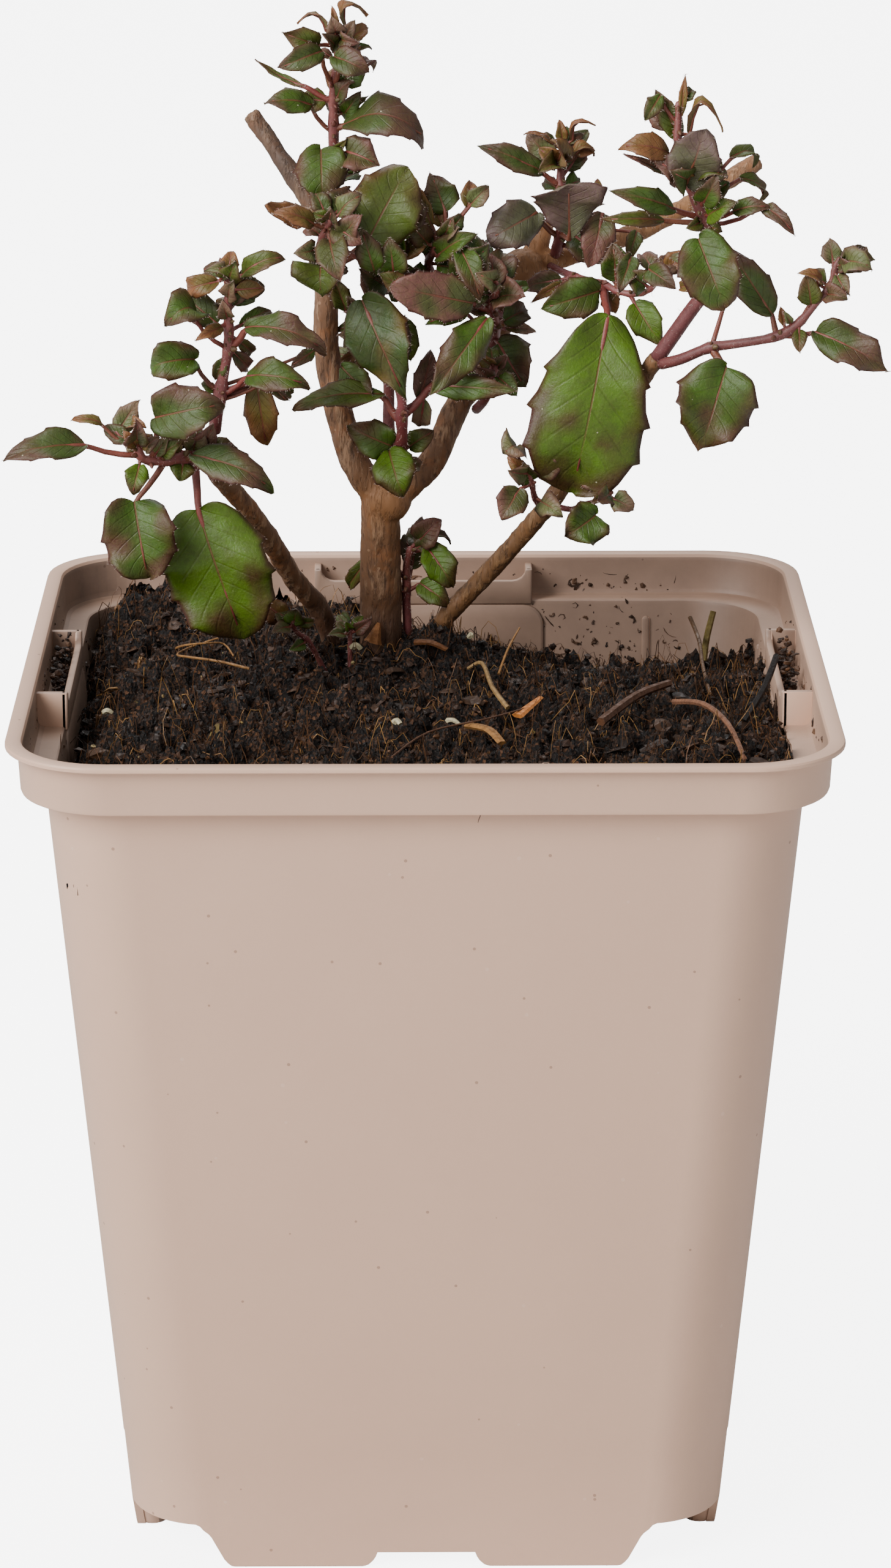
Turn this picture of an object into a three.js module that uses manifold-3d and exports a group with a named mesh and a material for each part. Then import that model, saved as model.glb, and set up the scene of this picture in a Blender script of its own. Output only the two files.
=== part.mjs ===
// A pruned young fuchsia growing in a square nursery pot.
// Millimetres, +Z up. The pot's front faces -Y, x is to the right and y is away from the front.
// Every size below is measured from the middle of the pot's foot, on the ground. At the end the
// whole part moves sideways, so that its origin is under the middle of its full width.

import * as THREE from 'three';
import { mergeVertices } from 'three/addons/utils/BufferGeometryUtils.js';
import Module from 'manifold-3d';

const wasm = await Module();
wasm.setup();

// ---------------------------------------------------------------- driving sizes

const POT = {
  height: 98,
  lipSide: 90,
  lipRadius: 10.75,
  lipThickness: 0.7,
  skirtSide: 87.4,
  skirtTaper: 0.4,
  skirtRadius: 10,
  skirtHeight: 5.9,
  shoulderSide: 81.8,
  baseSide: 67.2,
  bodyRadius: 9.2,
  wall: 0.95,
  floorHeight: 5.4,
  floorThickness: 1,
  cornerSteps: 4,
};
const LEDGE_TOP = POT.height - POT.skirtHeight + POT.wall;
const FLOOR_TOP = POT.floorHeight + POT.floorThickness;
const SKIRT_INNER = POT.skirtSide - 2 * POT.wall;
const SIDE_TURNS = [0, 1, 2, 3].map((side) => (side * Math.PI) / 2);

// One of four feet: the wall runs down between the open corners, with a notch in its edge.
const FOOT = {
  topHalf: 26,
  stepHalf: 24.6,
  stepNeck: 24.2,
  bottomHalf: 22.4,
  stepDrop: 1.5,
  stepRise: 0.2,
  notchHalf: 5.75,
  notchTopHalf: 5.45,
  notchHeight: 1.7,
};

// A label pocket stands on the ledge in the middle of each side.
const POCKET = {
  half: 13.15,
  thickness: 0.8,
  innerFace: 39.6,
  middleHeight: 3,
  endHeight: 4.1,
  fillet: 1.6,
  filletBend: [0.56, 0.16],
};

// A raised panel below each pocket, and a stacking rib towards each corner.
const PANEL = { half: 14.6, height: 28, proud: 0.4, corner: 2.5 };
const RIB = { half: 0.55, height: 20, proud: 0.4, corner: 0.5, offset: 27, drop: 1 };
const SUNK = 0.5;

// The leaves reach further to the right of the pot than to its left.
const SIDE_SHIFT = -2.5;

const SLOT = { width: 3.4, length: 12, near: 9, far: 21 };

const SOIL = {
  level: 93.4,
  moundRise: 3.4,
  moundCentre: [-4, 12],
  moundReach: 15,
  heapRise: 2.6,
  heapCentre: [-31, 37],
  heapReach: 13,
  dipDrop: 8.5,
  dipCentre: [26, 42],
  dipReach: [26, 24],
  wallGap: 8.5,
  wallGapReach: 4.5,
  lumpHeight: 0.55,
  lumpRate: [0.43, 0.51, 0.29, 0.37],
  cells: 11,
};

const CLEARANCE = 0.3;
const WOOD_SIDES = 7;
const SHOOT_SIDES = 5;
const LEAF_THICKNESS = 0.68;
const LEAF_FOLD = THREE.MathUtils.degToRad(17);
const STALK_HALF = 0.45;
const STALK_SHARE = 0.24;

// Outlines of a blade by its length: how far along it, and how wide there against its full width.
// A step back in width close behind a wide place is a tooth. Young blades have no fold at the midrib.
const OUTLINES = [
  { upTo: 4, folded: false, edge: [[0.45, 1]] },
  { upTo: 6, folded: false, edge: [[0.3, 0.9], [0.62, 0.86]] },
  { upTo: 9.5, folded: true, edge: [[0.16, 0.68], [0.42, 1], [0.74, 0.66]] },
  { upTo: Infinity, folded: true, edge: [[0.12, 0.6], [0.34, 0.98], [0.58, 0.97], [0.63, 0.84], [0.86, 0.46]] },
];

// ---------------------------------------------------------------- the plant

// Woody limbs: a route of points, and the radius at its two ends.
const WOOD = {
  main_stem: {
    limbs: [
      { route: [[-5, 13, 60], [-5, 12.5, 96.5], [-5, 12, 102], [-5, 11, 108.5], [-5, 10, 114.5]], radius: [2.5, 2.3] },
      {
        route: [[-5, 10, 113], [-7, 10, 116], [-8.5, 10, 119], [-10, 10, 125], [-11, 10, 130.5],
          [-11, 9.5, 136], [-11, 9.5, 140.5], [-10.5, 10, 144.6]],
        radius: [1.8, 1.2],
      },
      { route: [[-10.5, 10, 144], [-15, 13, 150.5], [-19.5, 16, 156.5]], radius: [1.25, 1.15] },
      {
        route: [[-4.5, 10, 113], [-1.5, 10.5, 115], [1, 11, 117.5], [4, 12, 124], [7, 13.5, 128],
          [8.5, 14.5, 131.5], [9.5, 15.5, 135], [11, 16.5, 138.5], [15, 17.5, 139.5], [22, 18.5, 141.5],
          [28, 19.5, 144], [35, 21, 148], [38.5, 22, 150]],
        radius: [1.7, 1],
      },
      { route: [[11, 16.5, 137.5], [13, 18, 141], [14, 19, 143.5]], radius: [1.5, 1.1] },
    ],
    knobs: [{ at: [-4.3, 10, 113.2], size: [2.9, 2.5, 2.8] }, { at: [11.2, 15.5, 138.8], size: [2.5, 2.1, 2.3] }],
  },
  left_stem: {
    limbs: [
      {
        route: [[-9.6, 14.2, 80], [-11, 12, 97], [-15, 8, 104.5], [-19.5, 1, 114], [-23.5, -3, 120], [-24, -4.5, 124]],
        radius: [1.3, 1.08],
      },
    ],
    knobs: [],
  },
  right_stem: {
    limbs: [
      {
        route: [[0.2, 13.6, 80], [0.6, 13, 94], [2, 12, 98], [6.5, 10, 103.5], [11, 7, 109.5], [13.5, 5, 113],
          [18.5, 3, 120.5], [22.5, 1.5, 126.5], [26, -0.5, 132]],
        radius: [1.18, 1],
      },
    ],
    knobs: [],
  },
};

// Leafy shoots. A leaf is [station along the route, reach of its tip from there, width, arch, tilt, stalk end].
// A station of 2.5 is half way from the third point to the fourth. Tilt 0 faces up, 90 faces the front.
const SHOOTS = {
  top_shoot: {
    route: [[-10.5, 9, 145], [-10.5, 8.5, 148], [-10, 8, 150.5], [-10, 7, 154.5], [-10, 6, 158], [-10, 5, 161],
      [-9.5, 4, 164.5], [-9.5, 3, 167.5]],
    radius: [1.15, 0.45],
    leaves: [
      [7, [3.5, 1, 2], 2, 2.4, 0], [7, [-4.5, -1, 1.5], 1.5, 1.5, 0], [6.9, [-0.5, 0, 3.5], 0.9, 0.2, 60],
      [6.5, [-5.5, -3, 2], 2.6, 0.8, 75], [6.4, [-1.5, -4, 2.5], 1.8, 0.5, 70], [6.4, [2, -1, 3.5], 1.8, 0.5, 80],
      [6.4, [3.5, 3, 2], 1.9, 0.8, 60], [5.2, [-6, -4, 2], 2.8, 3.6, 30],
      [5.2, [3, -5, 1.5], 3.1, 3.2, 30], [5.4, [4.5, 4, 0.5], 2.2, 1.6, 40], [4.5, [1, 3, 4], 2.7, 0.6, 70],
      [4.6, [-8.5, 1, 4.5], 1.8, -0.8, 40], [3.4, [-7.5, -3, 4], 2.6, 1, 55], [3.8, [0.5, 3, 3], 2.3, 0.3, 75],
      [3.9, [3.5, 1, 2.5], 1.5, -0.6, 50], [3.6, [11.5, -3, -1.5], 4.8, 3, 55], [2.7, [6.5, -5, 0.5], 4.2, 0.8, 60],
      [2.7, [-1, -5, -5], 5.9, 1.6, 90, [-1.5, -2, 0.5]],
      [2.1, [4.5, 6, 0.5], 2.2, 0.8, 50], [1.8, [3, 6, 0], 1.8, 0.5, 60],
    ],
  },
  crown_shoot: {
    route: [[-11, 9, 137.5], [-11, 5, 140.5], [-11.5, 2, 143.5], [-11, 0, 146], [-10, -1, 148]],
    radius: [0.95, 0.5],
    leaves: [
      [3.3, [-6, -3, 2.5], 2.4, 1, 60], [2.2, [-3, -3, 0], 2.4, 0.6, 85], [1.9, [-1.5, -2, -2], 1.5, 0.4, 85],
      [3.3, [1.5, -5, -5], 3.8, 1.2, 90], [1.9, [0, -5, -4], 6.3, 1.4, 90, [0, -2, -1]],
      [1.2, [-8.5, -2, 1], 2.5, -4.2, 30], [3.7, [3.5, -3, -2], 3.2, 0.8, 80],
      [1, [9.4, -3, 11.7], 7.1, -0.5, 90, [4.6, -6, 4.8]], [2.8, [-2, 2, 0.5], 2, 0.8, 60],
    ],
  },
  left_top_shoot: {
    route: [[-23.3, -4, 124.6], [-23, -5, 126.5], [-22.5, -5.5, 129.5], [-22, -6, 132], [-21.5, -6.5, 135],
      [-21.5, -7, 138], [-21.5, -7.5, 141], [-21.5, -8, 143]],
    radius: [1.15, 0.5],
    leaves: [
      [6.6, [7, -1, 3], 2.4, 1.6, 55], [6.6, [-2.5, -2, 1.5], 1.7, 1.6, 45], [6.8, [0.5, 1, 3], 2, 0.3, 80],
      [6.6, [4.5, 3, 1], 1.2, 1.2, 50], [6.8, [-4.5, 2, -2], 2.5, 1.4, 70],
      [3.8, [-7, -4, 2], 3.9, 2.4, 45, [-4, -1.5, 3]], [4.8, [-3.5, -4, -1], 1.6, 0.6, 80],
      [4.8, [-0.5, -2, 3], 1.7, 0.3, 80], [4.4, [-5.5, 3, 4], 3.5, 0.8, 75],
      [3.8, [11.5, -3, 0], 3.6, 2.4, 50, [2, -1, 2.5]], [4.5, [5, 4, 1.5], 1.7, 0.6, 60],
      [1.6, [10.5, -4, 2.3], 3.7, 1.4, 60, [3, -1.5, 2.5]], [3.7, [-1.5, 1, -3.5], 1.6, 0.4, 80],
      [3.9, [2, 4, -3.5], 1.9, 0.8, 70], [4.4, [2.5, 5, -3.5], 1.5, 0.8, 70],
      [1.8, [-8, -1, 1.7], 3.9, 2, 60, [-3, -0.7, 3]],
      [1.9, [5, 4, -7.5], 3.7, 0.8, 90, [4, 1.5, 1]], [1.7, [8, 6, -1.5], 1.6, 0.8, 60, [5.5, 2, 1.5]],
    ],
  },
  left_low_shoot: {
    route: [[-24.2, -4.6, 122.6], [-25, -6.2, 122.3], [-26.5, -8, 122.5], [-29, -9.5, 122.5], [-31, -10.5, 123],
      [-31.5, -11, 124.5]],
    radius: [1.15, 0.6],
    leaves: [
      [2.8, [-2, -3, -13], 7.9, 0.8, 88, [-3.5, -1, -4.5]], [1.4, [5.5, -1, -21.4], 11.4, 1, 90, [0.5, -0.5, -6]],
      [4.3, [-15, -4, 0.5], 3.8, 1, 50, [-6, -1.5, 1.5]], [4.6, [-7.5, 0, 3.5], 1.3, 0.6, 40, [-4, 0, 3]],
      [4.6, [0, 1, 5.5], 2.6, -0.8, 80, [-2.5, 0.5, 2]], [4.7, [1, -2, 3], 1.6, 0.8, 50, [-0.5, -0.5, 2.5]],
      [4.2, [-1, -2, -4], 2.6, 0.4, 88], [4.8, [-1.5, -2, 2.5], 1.7, 0.4, 70], [4.7, [1.5, -1, 2], 1.6, 0.4, 70],
      [3.5, [8.5, -3, 7], 5.9, 1.2, 75, [0.5, -1, 5]],
      [1.9, [-2.5, 2, 3], 1.9, 0.4, 75], [1.8, [-3, -1, 1], 1.9, 0.3, 60], [1.6, [-2, 2, 4], 4.3, 0.6, 80],
      [1.5, [1, -1, 4], 3, 0.4, 85], [1.1, [2, -2.5, 4], 2.7, 0.4, 85], [0.9, [4.5, -1, 1.5], 1.8, 1, 50],
      [2, [10.5, -4, -3], 4.2, 1.8, 50, [1, -1.5, 0.5]], [2, [-0.5, -1, -2.5], 2.7, 0.2, 88],
    ],
  },
  fork_shoot: {
    route: [[-3, 7, 118], [-2.5, 3, 122], [-2.5, 1, 124.5], [-2.5, 0, 127], [-3, 0, 129]],
    radius: [1.1, 0.7],
    leaves: [
      [2.6, [12.9, -3, 2.6], 3, 0.8, 75, [3.2, -0.4, 2.6]], [1.9, [-12.5, 2, 1], 3.2, 1.8, 50, [-2, 0.5, 3]],
      [2.1, [3.5, 3, 7.5], 2.7, 0.4, 105, [2, 1, 2]], [2.5, [2, 4, -3], 2.2, 0.6, 85, [2.5, 1.5, 1]],
      [0.6, [-6, -1, 3], 4.3, 0.6, 85, [-1, -0.5, 0.5]], [0.4, [0.5, -5, -4], 5, 1.2, 90, [-1, -2, 0.5]],
      [0.5, [4, 0, 2.5], 2.6, 0.4, 70, [1, 0, 0.5]], [0.4, [2.5, 1, -2], 1.7, 0.4, 80],
      [0.3, [-5, 3, 1], 1.2, 0.3, 60],
    ],
  },
  inner_shoot: {
    route: [[8, 13.5, 130.3], [8, 8, 134.5], [7.5, 5, 137], [8, 3, 138.5], [8, 2, 140]],
    radius: [0.9, 0.5],
    leaves: [
      [1.5, [-11.6, -8.5, 3.3], 4.6, 0.9, 80, [-2.6, -5.5, 1.7]],
      [0.8, [-7.7, -13.1, -5.1], 4.5, 0.7, 80, [-0.8, -8.1, 2.2]],
      [0.4, [3.5, -5, -5], 5.7, 0.6, 85, [0.5, -2, -0.5]], [3, [-0.5, 1, 4.5], 3.1, 0.3, 100],
      [3.2, [1, 4, 4], 3.6, 0.3, 85], [2.5, [3.5, -3, 1], 4.1, 0.4, 60],
      [2, [-3, -3, 1], 1.6, 0.6, 60], [1.5, [-2.5, -3, 1], 1.5, -0.6, 60], [3.1, [4, 4, 0], 1.9, 0.4, 60],
      [0.8, [4, 4, 1], 2.9, 0.4, 70], [3.5, [-4, 8, 5], 3.4, 0.8, 85],
      [2, [-0.5, 7, 6.5], 1.8, 0.3, 80], [0.4, [1.5, 3, -5], 2.2, 0.3, 85],
    ],
  },
  elbow_shoot: {
    route: [[6, 11, 123.5], [7, 6, 126], [7.5, 4, 128.5], [8, 4, 130]],
    radius: [0.9, 0.65],
    leaves: [
      [1.9, [3, -3, -1], 2.5, 0.6, 60, [1, -1, 0.5]], [2, [-6, -1, -0.5], 3, 0.8, 60, [-1, -0.5, 0.5]],
      [2.8, [1.5, 0, 1.5], 1.4, 0.3, 70],
    ],
  },
  upper_mid_shoot: {
    route: [[9, 14, 133.6], [5.5, 11, 135.8], [2, 9, 138.5], [0.5, 7, 141], [1.5, 5, 143.5], [2.5, 5, 145]],
    radius: [0.85, 0.45],
    leaves: [
      [4.9, [-1.5, 1, 6.5], 4.2, -0.4, 95, [0, 0.5, 2.5]], [4.9, [3, 2, 6], 1.9, 0.2, 80, [2.5, 0.5, 3]],
      [4.9, [5, 0, 5.5], 2.2, 0.6, 70, [3, 0, 3.5]], [3.4, [3.5, -2, 1.5], 2.2, 0.6, 20, [0.5, -0.5, 1.5]],
      [3.1, [4, -3, 0], 3.2, 0.3, 88], [4, [5, -5, -5.5], 2.9, 1.2, 60, [2.5, -2, 0.3]],
      [3.3, [0, -1, 3], 1.9, 0.2, 88], [3.1, [0.5, 2, 6], 1.8, 0.6, 75, [-1, 0.5, 3]],
      [1.6, [3.9, -7.8, 6.8], 4.2, 0.5, 85, [0, -5.8, 2.6]],
    ],
  },
  centre_shoot: {
    route: [[-3.5, 10, 116.5], [-4, 13, 121], [-4, 13, 126], [-4.5, 12, 130.5], [-5, 10, 135.5], [-4.5, 8, 139],
      [-3.5, 6, 141.5], [-2.5, 5, 144]],
    radius: [1.15, 0.5],
    leaves: [
      [7, [2.5, 3, 5.5], 4.2, 0.4, 90, [0.5, 1, 1]], [5.8, [-1, -3, 4], 3.3, 0.4, 90],
      [6.2, [1, -4, 3], 1.9, 0.2, 88], [6.9, [-1, -3, 2.5], 2.1, 0.8, 60], [6.3, [3.5, -2, 1.5], 2.5, 0.5, 60],
      [5.7, [0.5, -5, -1.5], 4.3, 0.6, 90], [4.7, [-2.5, -1, 3.5], 1.9, 0.2, 70], [5.5, [-2.5, 1, 3], 2.2, 0.3, 80],
      [5.9, [2.5, -3, 0], 1.5, 0.3, 80], [3.6, [-5.5, -1, -0.5], 1.8, 0.4, 75], [3.8, [-4, -3, 1], 1.8, 0.3, 75],
      [4.1, [3.1, -12.8, -8.3], 6.9, 0.9, 92, [-1.9, -9.8, 2.6]], [4.1, [3.5, 2, -7], 2.9, 0.4, 88, [2.5, 0.5, -1.5]],
      [2.5, [-8, 3, 1], 2.1, 0.6, 60],
    ],
  },
  right_top_shoot: {
    route: [[15, 17, 140], [15.5, 14, 143], [15.5, 12, 146], [15.5, 12, 148.5], [15.5, 13, 151], [16, 14, 153.5]],
    radius: [0.95, 0.45],
    leaves: [
      [3.2, [-9.5, -2, 5], 2.9, 0.8, 60, [-2, -0.5, 1.5]], [3.9, [-4, 1, 4], 2.9, 0.4, 78],
      [4.7, [-4.5, -1, 2.5], 1, 0.4, 30], [4.7, [-0.5, 0, 3.5], 1.4, 0.2, 80], [4.9, [3.5, -1, 2.5], 1.1, 1.6, 20],
      [4.5, [3, 2, 2.5], 1.9, 0.4, 70], [3.5, [3, 3, 3.5], 2.3, 0.3, 85], [4.2, [4, 1, 0.5], 1.2, 1.8, 30],
      [3, [-2, 3, 0.5], 1.7, 0.3, 70], [3.1, [2.5, 3, 0], 2.2, 0.6, 60],
      [1, [0.7, -8, 7], 7.6, -0.3, 92, [0.9, -5, 0.6]],
      [0.9, [-8.2, -8.3, 1], 5.5, 0.4, 88, [-2.5, -5.3, 3.8]], [0.9, [5, -3, -2.5], 4.3, 0.6, 60, [1.5, -1, 0.5]],
      [1.6, [2.5, -4.8, -4.3], 4.2, 0.4, 88, [4.7, -2.8, 1.7]],
    ],
  },
  right_low_shoot: {
    route: [[14.5, 16, 139], [17, 10, 139], [20, 6, 139], [22, 4, 138.5], [24, 3, 138.5], [25.5, 2, 139.5],
      [26, 2, 141]],
    radius: [0.7, 0.4],
    leaves: [
      [4.8, [-2.5, -1, 2], 3, 0.4, 82], [5.6, [2.5, -1, 1.5], 1.9, 0.6, 70], [5.4, [2, -3, 0.5], 2.2, 0.8, 60],
      [5.8, [0.5, 1, 2], 1.5, 0.2, 75], [2.8, [-0.5, -1, 5.5], 3.3, 0.3, 90],
      [2, [-7, -4, -2], 4.5, 0.6, 80, [-0.5, -1.5, -0.5]],
      [2, [-3.5, -8.5, -22.6], 12.8, 0.9, 90, [0.5, -6, -2.2]],
      [2.2, [1, 1, -3.5], 2.1, 0.3, 88], [3.5, [3.5, -2, -5.5], 3.7, 0.5, 85, [0.5, -0.5, -1]],
      [1, [-6, 1, -1.5], 2.5, 0.4, 65],
    ],
  },
  upper_right_shoot: {
    route: [[26.3, -0.8, 133.2], [29, -2.5, 137], [31, -4, 140.5], [31, -5, 143.5], [31, -5.5, 146.5], [30.5, -6, 149],
      [29.5, -7, 151.5], [28.5, -8, 154.5], [27.5, -9, 157.5], [27.5, -9, 160], [27.5, -9, 162]],
    radius: [1.1, 0.45],
    leaves: [
      [8.4, [5, -1, 0.5], 1.5, 3.8, 20], [8.6, [-2.5, 1, 4], 2.6, 0.3, 75],
      [8.9, [-3, -3, 0.5], 2.4, 1.6, 75, [-2.5, -1, 2.5]], [9.8, [0.5, 0, 3.5], 1.1, 0.3, 40],
      [7.5, [-7.5, -1, 1.5], 2.8, 1.4, 60, [-3.5, -0.5, 0]],
      [6.5, [-7, -4, 4], 1.2, -0.3, 45], [6.2, [3.5, -4, 2.5], 1.9, 1.4, 40],
      [5.8, [2, -2, 3], 2.1, 0.3, 80], [5.6, [3.5, 0, 2.5], 2.4, 0.4, 80], [6.5, [3.5, 3, 3], 2.5, 0.4, 80],
      [6.8, [3, 4, 3.5], 1.5, 0.4, 70], [6.1, [7.5, 4, 2.5], 2.1, 1.2, 30, [4, 1.5, 3.5]],
      [5.3, [-6, -5.7, 6.4], 4.5, 0.8, 72, [-1.4, -1.7, 4.1]],
      [5.6, [0.1, -5.4, 9.1], 4.6, -0.4, 88, [-1.4, -1.4, 3.3]],
      [5, [6, -6, 3.2], 3.2, 0.9, 65, [1, -2, 0.9]], [4.6, [9.5, -6.2, 0], 2, 1.2, 50, [5.7, -3.2, 3.1]],
      [4.9, [-10.4, -6, 4.2], 3.7, 0.9, 70, [-3, -2, 0.9]], [4.8, [-2, -2, -0.5], 1.7, 0.3, 82],
      [5.6, [7.5, 5, -1], 1.9, 1.2, 40, [4.5, 1.5, 2.5]], [4, [2, -6.5, -6], 7, 0.8, 90, [-0.3, -3.5, 0.4]],
      [3, [-4, 2, 0.5], 1.6, 0.3, 70], [2.4, [-3, 2, -1.5], 1.6, 0.3, 75],
    ],
  },
  right_shoot: {
    route: [[26.4, -1, 131.4], [28.5, -3, 132.4], [31.5, -4.5, 134], [34, -5, 134.5], [38.5, -6, 135.5],
      [41, -6.5, 137], [43, -7, 139.5], [44.5, -7, 141.5], [45, -7, 143.5], [45.5, -7, 144.5]],
    radius: [1, 0.4],
    leaves: [
      [2.1, [-1.5, -4, -11], 8.7, 0.8, 90, [1.5, -1.5, -2]], [2.1, [1, 5, 9], 3.4, 0.3, 90, [1.5, 2, 4.5]],
      [4.1, [-5, 1, 9.5], 3.9, 0.6, 85, [-0.5, 0.5, 2.5]], [4.5, [-0.5, 1, 2.5], 1.1, 0.2, 60],
      [5.2, [0.5, -1, 5.5], 2.6, 0.3, 82, [1, -0.5, 2]],
      [6.8, [-3.5, -1, 2], 1.3, 1, 40], [7.8, [-0.5, 1, 3.5], 2.3, 0.2, 82], [8.2, [3, 0, 2], 1.5, 0.3, 60],
      [7.8, [1.5, -2, -2.5], 2, 0.5, 85], [6.9, [-1.5, 3, 1], 2.1, 0.3, 80],
      [4.2, [12, -3, -3.5], 4.6, 1.2, 60, [4, -1, 0.5]], [5.1, [0, -2, -3], 1.7, 0.2, 85],
      [8.2, [1.5, -2, 0.5], 1.7, 0.2, 75],
    ],
  },
  low_sprig: {
    route: [[13.5, 5, 113], [12.5, 1, 115.5], [12, -1, 118], [11.5, -2, 120]],
    radius: [0.55, 0.4],
    leaves: [
      [1.9, [-3.5, -3, -3.5], 3.6, 0.4, 85, [-1.5, -1, -0.5]], [1.8, [-1, -2, 3], 2.6, 0.2, 88],
      [1.1, [3, -4, -1], 2.9, 0.4, 80], [2.6, [-3, -2, 2.5], 3.8, 0.8, 60, [-1.5, -0.5, 3]],
    ],
  },
  low_side_sprig: {
    route: [[14.5, 6, 113.5], [16.5, 2, 114], [18, 0, 115], [20, -1, 116], [21, -2, 117]],
    radius: [0.55, 0.4],
    leaves: [
      [2.1, [-2.5, -3, -3], 5, 0.4, 85, [1, -1, -1]], [3.5, [3, -1, -1.5], 2.5, 0.4, 65],
    ],
  },
  foot_shoot: {
    route: [[-1.5, 13.5, 92], [-2, 13, 99], [-2, 12.5, 102], [-2, 12, 105], [-1.5, 11.5, 107]],
    radius: [0.65, 0.45],
    leaves: [
      [2.1, [2, 4, 7.5], 3.3, 0.3, 85], [3.7, [2.5, 3, 3], 1.3, 0.5, 60], [3.9, [5, 1, 0.5], 1.5, 1.8, 30],
      [3.8, [5, -2, -4], 3.8, 1.2, 60, [2, -0.5, 0.5]], [1.9, [5, -2, -1.5], 3, 0.8, 60, [1.5, -0.5, 1]],
      [2.4, [-7, 7, -3.5], 1.8, 0.8, 60, [-4, 2.5, 2]],
    ],
  },
  soil_sprig: {
    route: [[-10.5, 6, 92], [-13, 3, 98], [-14.5, 1, 100], [-15, 0, 101.5]],
    radius: [0.5, 0.35],
    leaves: [
      [2.8, [0.5, 0, 1.5], 2.4, 0.2, 80], [2.6, [-2.5, -3, 0], 1.8, 0.4, 60], [1.2, [-2, -2, -0.5], 1.5, 0.3, 70],
    ],
  },
  star_sprig: {
    route: [[-8.5, 6, 92], [-8.5, 6, 97.5], [-8.5, 6, 99]],
    radius: [0.45, 0.35],
    leaves: [
      [1.6, [-1.5, 0, 1.5], 1.3, 0.2, 60], [1.7, [-0.5, -1, 1.5], 1.1, 0.2, 60], [1.8, [1.5, 1, 1.5], 1.3, 0.2, 60],
      [1.5, [-2.5, -2, 0.5], 1.4, 0.3, 45], [1.5, [2, 1, 1.5], 1.4, 0.3, 50],
    ],
  },
};

// ---------------------------------------------------------------- solids

const vector = ([x, y, z]) => new THREE.Vector3(x, y, z);

function solidOf(geometry) {
  const bare = geometry.clone();
  bare.deleteAttribute('normal');
  bare.deleteAttribute('uv');
  const merged = mergeVertices(bare, 1e-4);
  return new wasm.Manifold(new wasm.Mesh({
    numProp: 3,
    vertProperties: new Float32Array(merged.attributes.position.array),
    triVerts: new Uint32Array(merged.index.array),
  }));
}

function solidOfTriangles(points, triangles) {
  const geometry = new THREE.BufferGeometry().setFromPoints(points);
  geometry.setIndex(triangles);
  return solidOf(geometry);
}

// A closed skin over rings of points that all go the same way round, with a fan over each end.
function loft(rings) {
  const count = rings[0].length;
  const points = rings.flat();
  const triangles = [];
  for (let ring = 0; ring + 1 < rings.length; ring += 1) {
    for (let i = 0; i < count; i += 1) {
      const next = (i + 1) % count;
      const low = ring * count;
      const high = low + count;
      triangles.push(low + i, low + next, high + next, low + i, high + next, high + i);
    }
  }
  for (const [ring, facesDown] of [[rings[0], true], [rings[rings.length - 1], false]]) {
    const start = facesDown ? 0 : (rings.length - 1) * count;
    const middle = points.length;
    points.push(ring.reduce((sum, point) => sum.add(point), new THREE.Vector3()).divideScalar(count));
    for (let i = 0; i < count; i += 1) {
      const next = (i + 1) % count;
      triangles.push(middle, ...(facesDown ? [start + next, start + i] : [start + i, start + next]));
    }
  }
  return solidOfTriangles(points, triangles);
}

function roundedSquare(side, radius, z) {
  const centre = side / 2 - radius;
  return SIDE_TURNS.flatMap((turn) => {
    const ring = [];
    for (let step = 0; step <= POT.cornerSteps; step += 1) {
      const angle = turn + (step / POT.cornerSteps) * (Math.PI / 2);
      const corner = turn + Math.PI / 4;
      const reach = centre * Math.SQRT2;
      ring.push(new THREE.Vector3(
        reach * Math.cos(corner) + radius * Math.cos(angle),
        reach * Math.sin(corner) + radius * Math.sin(angle),
        z,
      ));
    }
    return ring;
  });
}

function box(lowest, highest) {
  const size = highest.map((value, axis) => value - lowest[axis]);
  const middle = highest.map((value, axis) => (value + lowest[axis]) / 2);
  return solidOf(new THREE.BoxGeometry(...size).translate(...middle));
}

// Extrudes an outline drawn in x and z along +y, from the plane y = start.
function upright(outline, start, depth) {
  const shape = new THREE.Shape(outline.map(([x, z]) => new THREE.Vector2(x, z)));
  const geometry = new THREE.ExtrudeGeometry(shape, { depth, bevelEnabled: false });
  geometry.rotateX(Math.PI / 2).translate(0, start + depth, 0);
  return solidOf(geometry);
}

const onEachSide = (solid) => SIDE_TURNS
  .map((turn) => solid.rotate([0, 0, THREE.MathUtils.radToDeg(turn)]))
  .reduce((all, one) => all.add(one));

const largestBody = (solid) => solid.decompose().reduce((a, b) => (b.volume() > a.volume() ? b : a));

// ---------------------------------------------------------------- pot

const bodySide = (z) => THREE.MathUtils.mapLinear(
  z, POT.floorHeight, POT.height - POT.skirtHeight, POT.baseSide, POT.shoulderSide,
);

const bodyLoft = (low, high, inset) => loft([low, high].map(
  (z) => roundedSquare(bodySide(z) - 2 * inset, POT.bodyRadius - inset, z),
));

const skirtLoft = (low, high, side, radius, taper) => loft([
  roundedSquare(side - taper, radius, low),
  roundedSquare(side, radius, high),
]);

function quarterArc(centre, radius, fromDegrees, toDegrees, steps = 2) {
  return Array.from({ length: steps + 1 }, (_, step) => {
    const angle = THREE.MathUtils.degToRad(fromDegrees + ((toDegrees - fromDegrees) * step) / steps);
    return [centre[0] + radius * Math.cos(angle), centre[1] + radius * Math.sin(angle)];
  });
}

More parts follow.
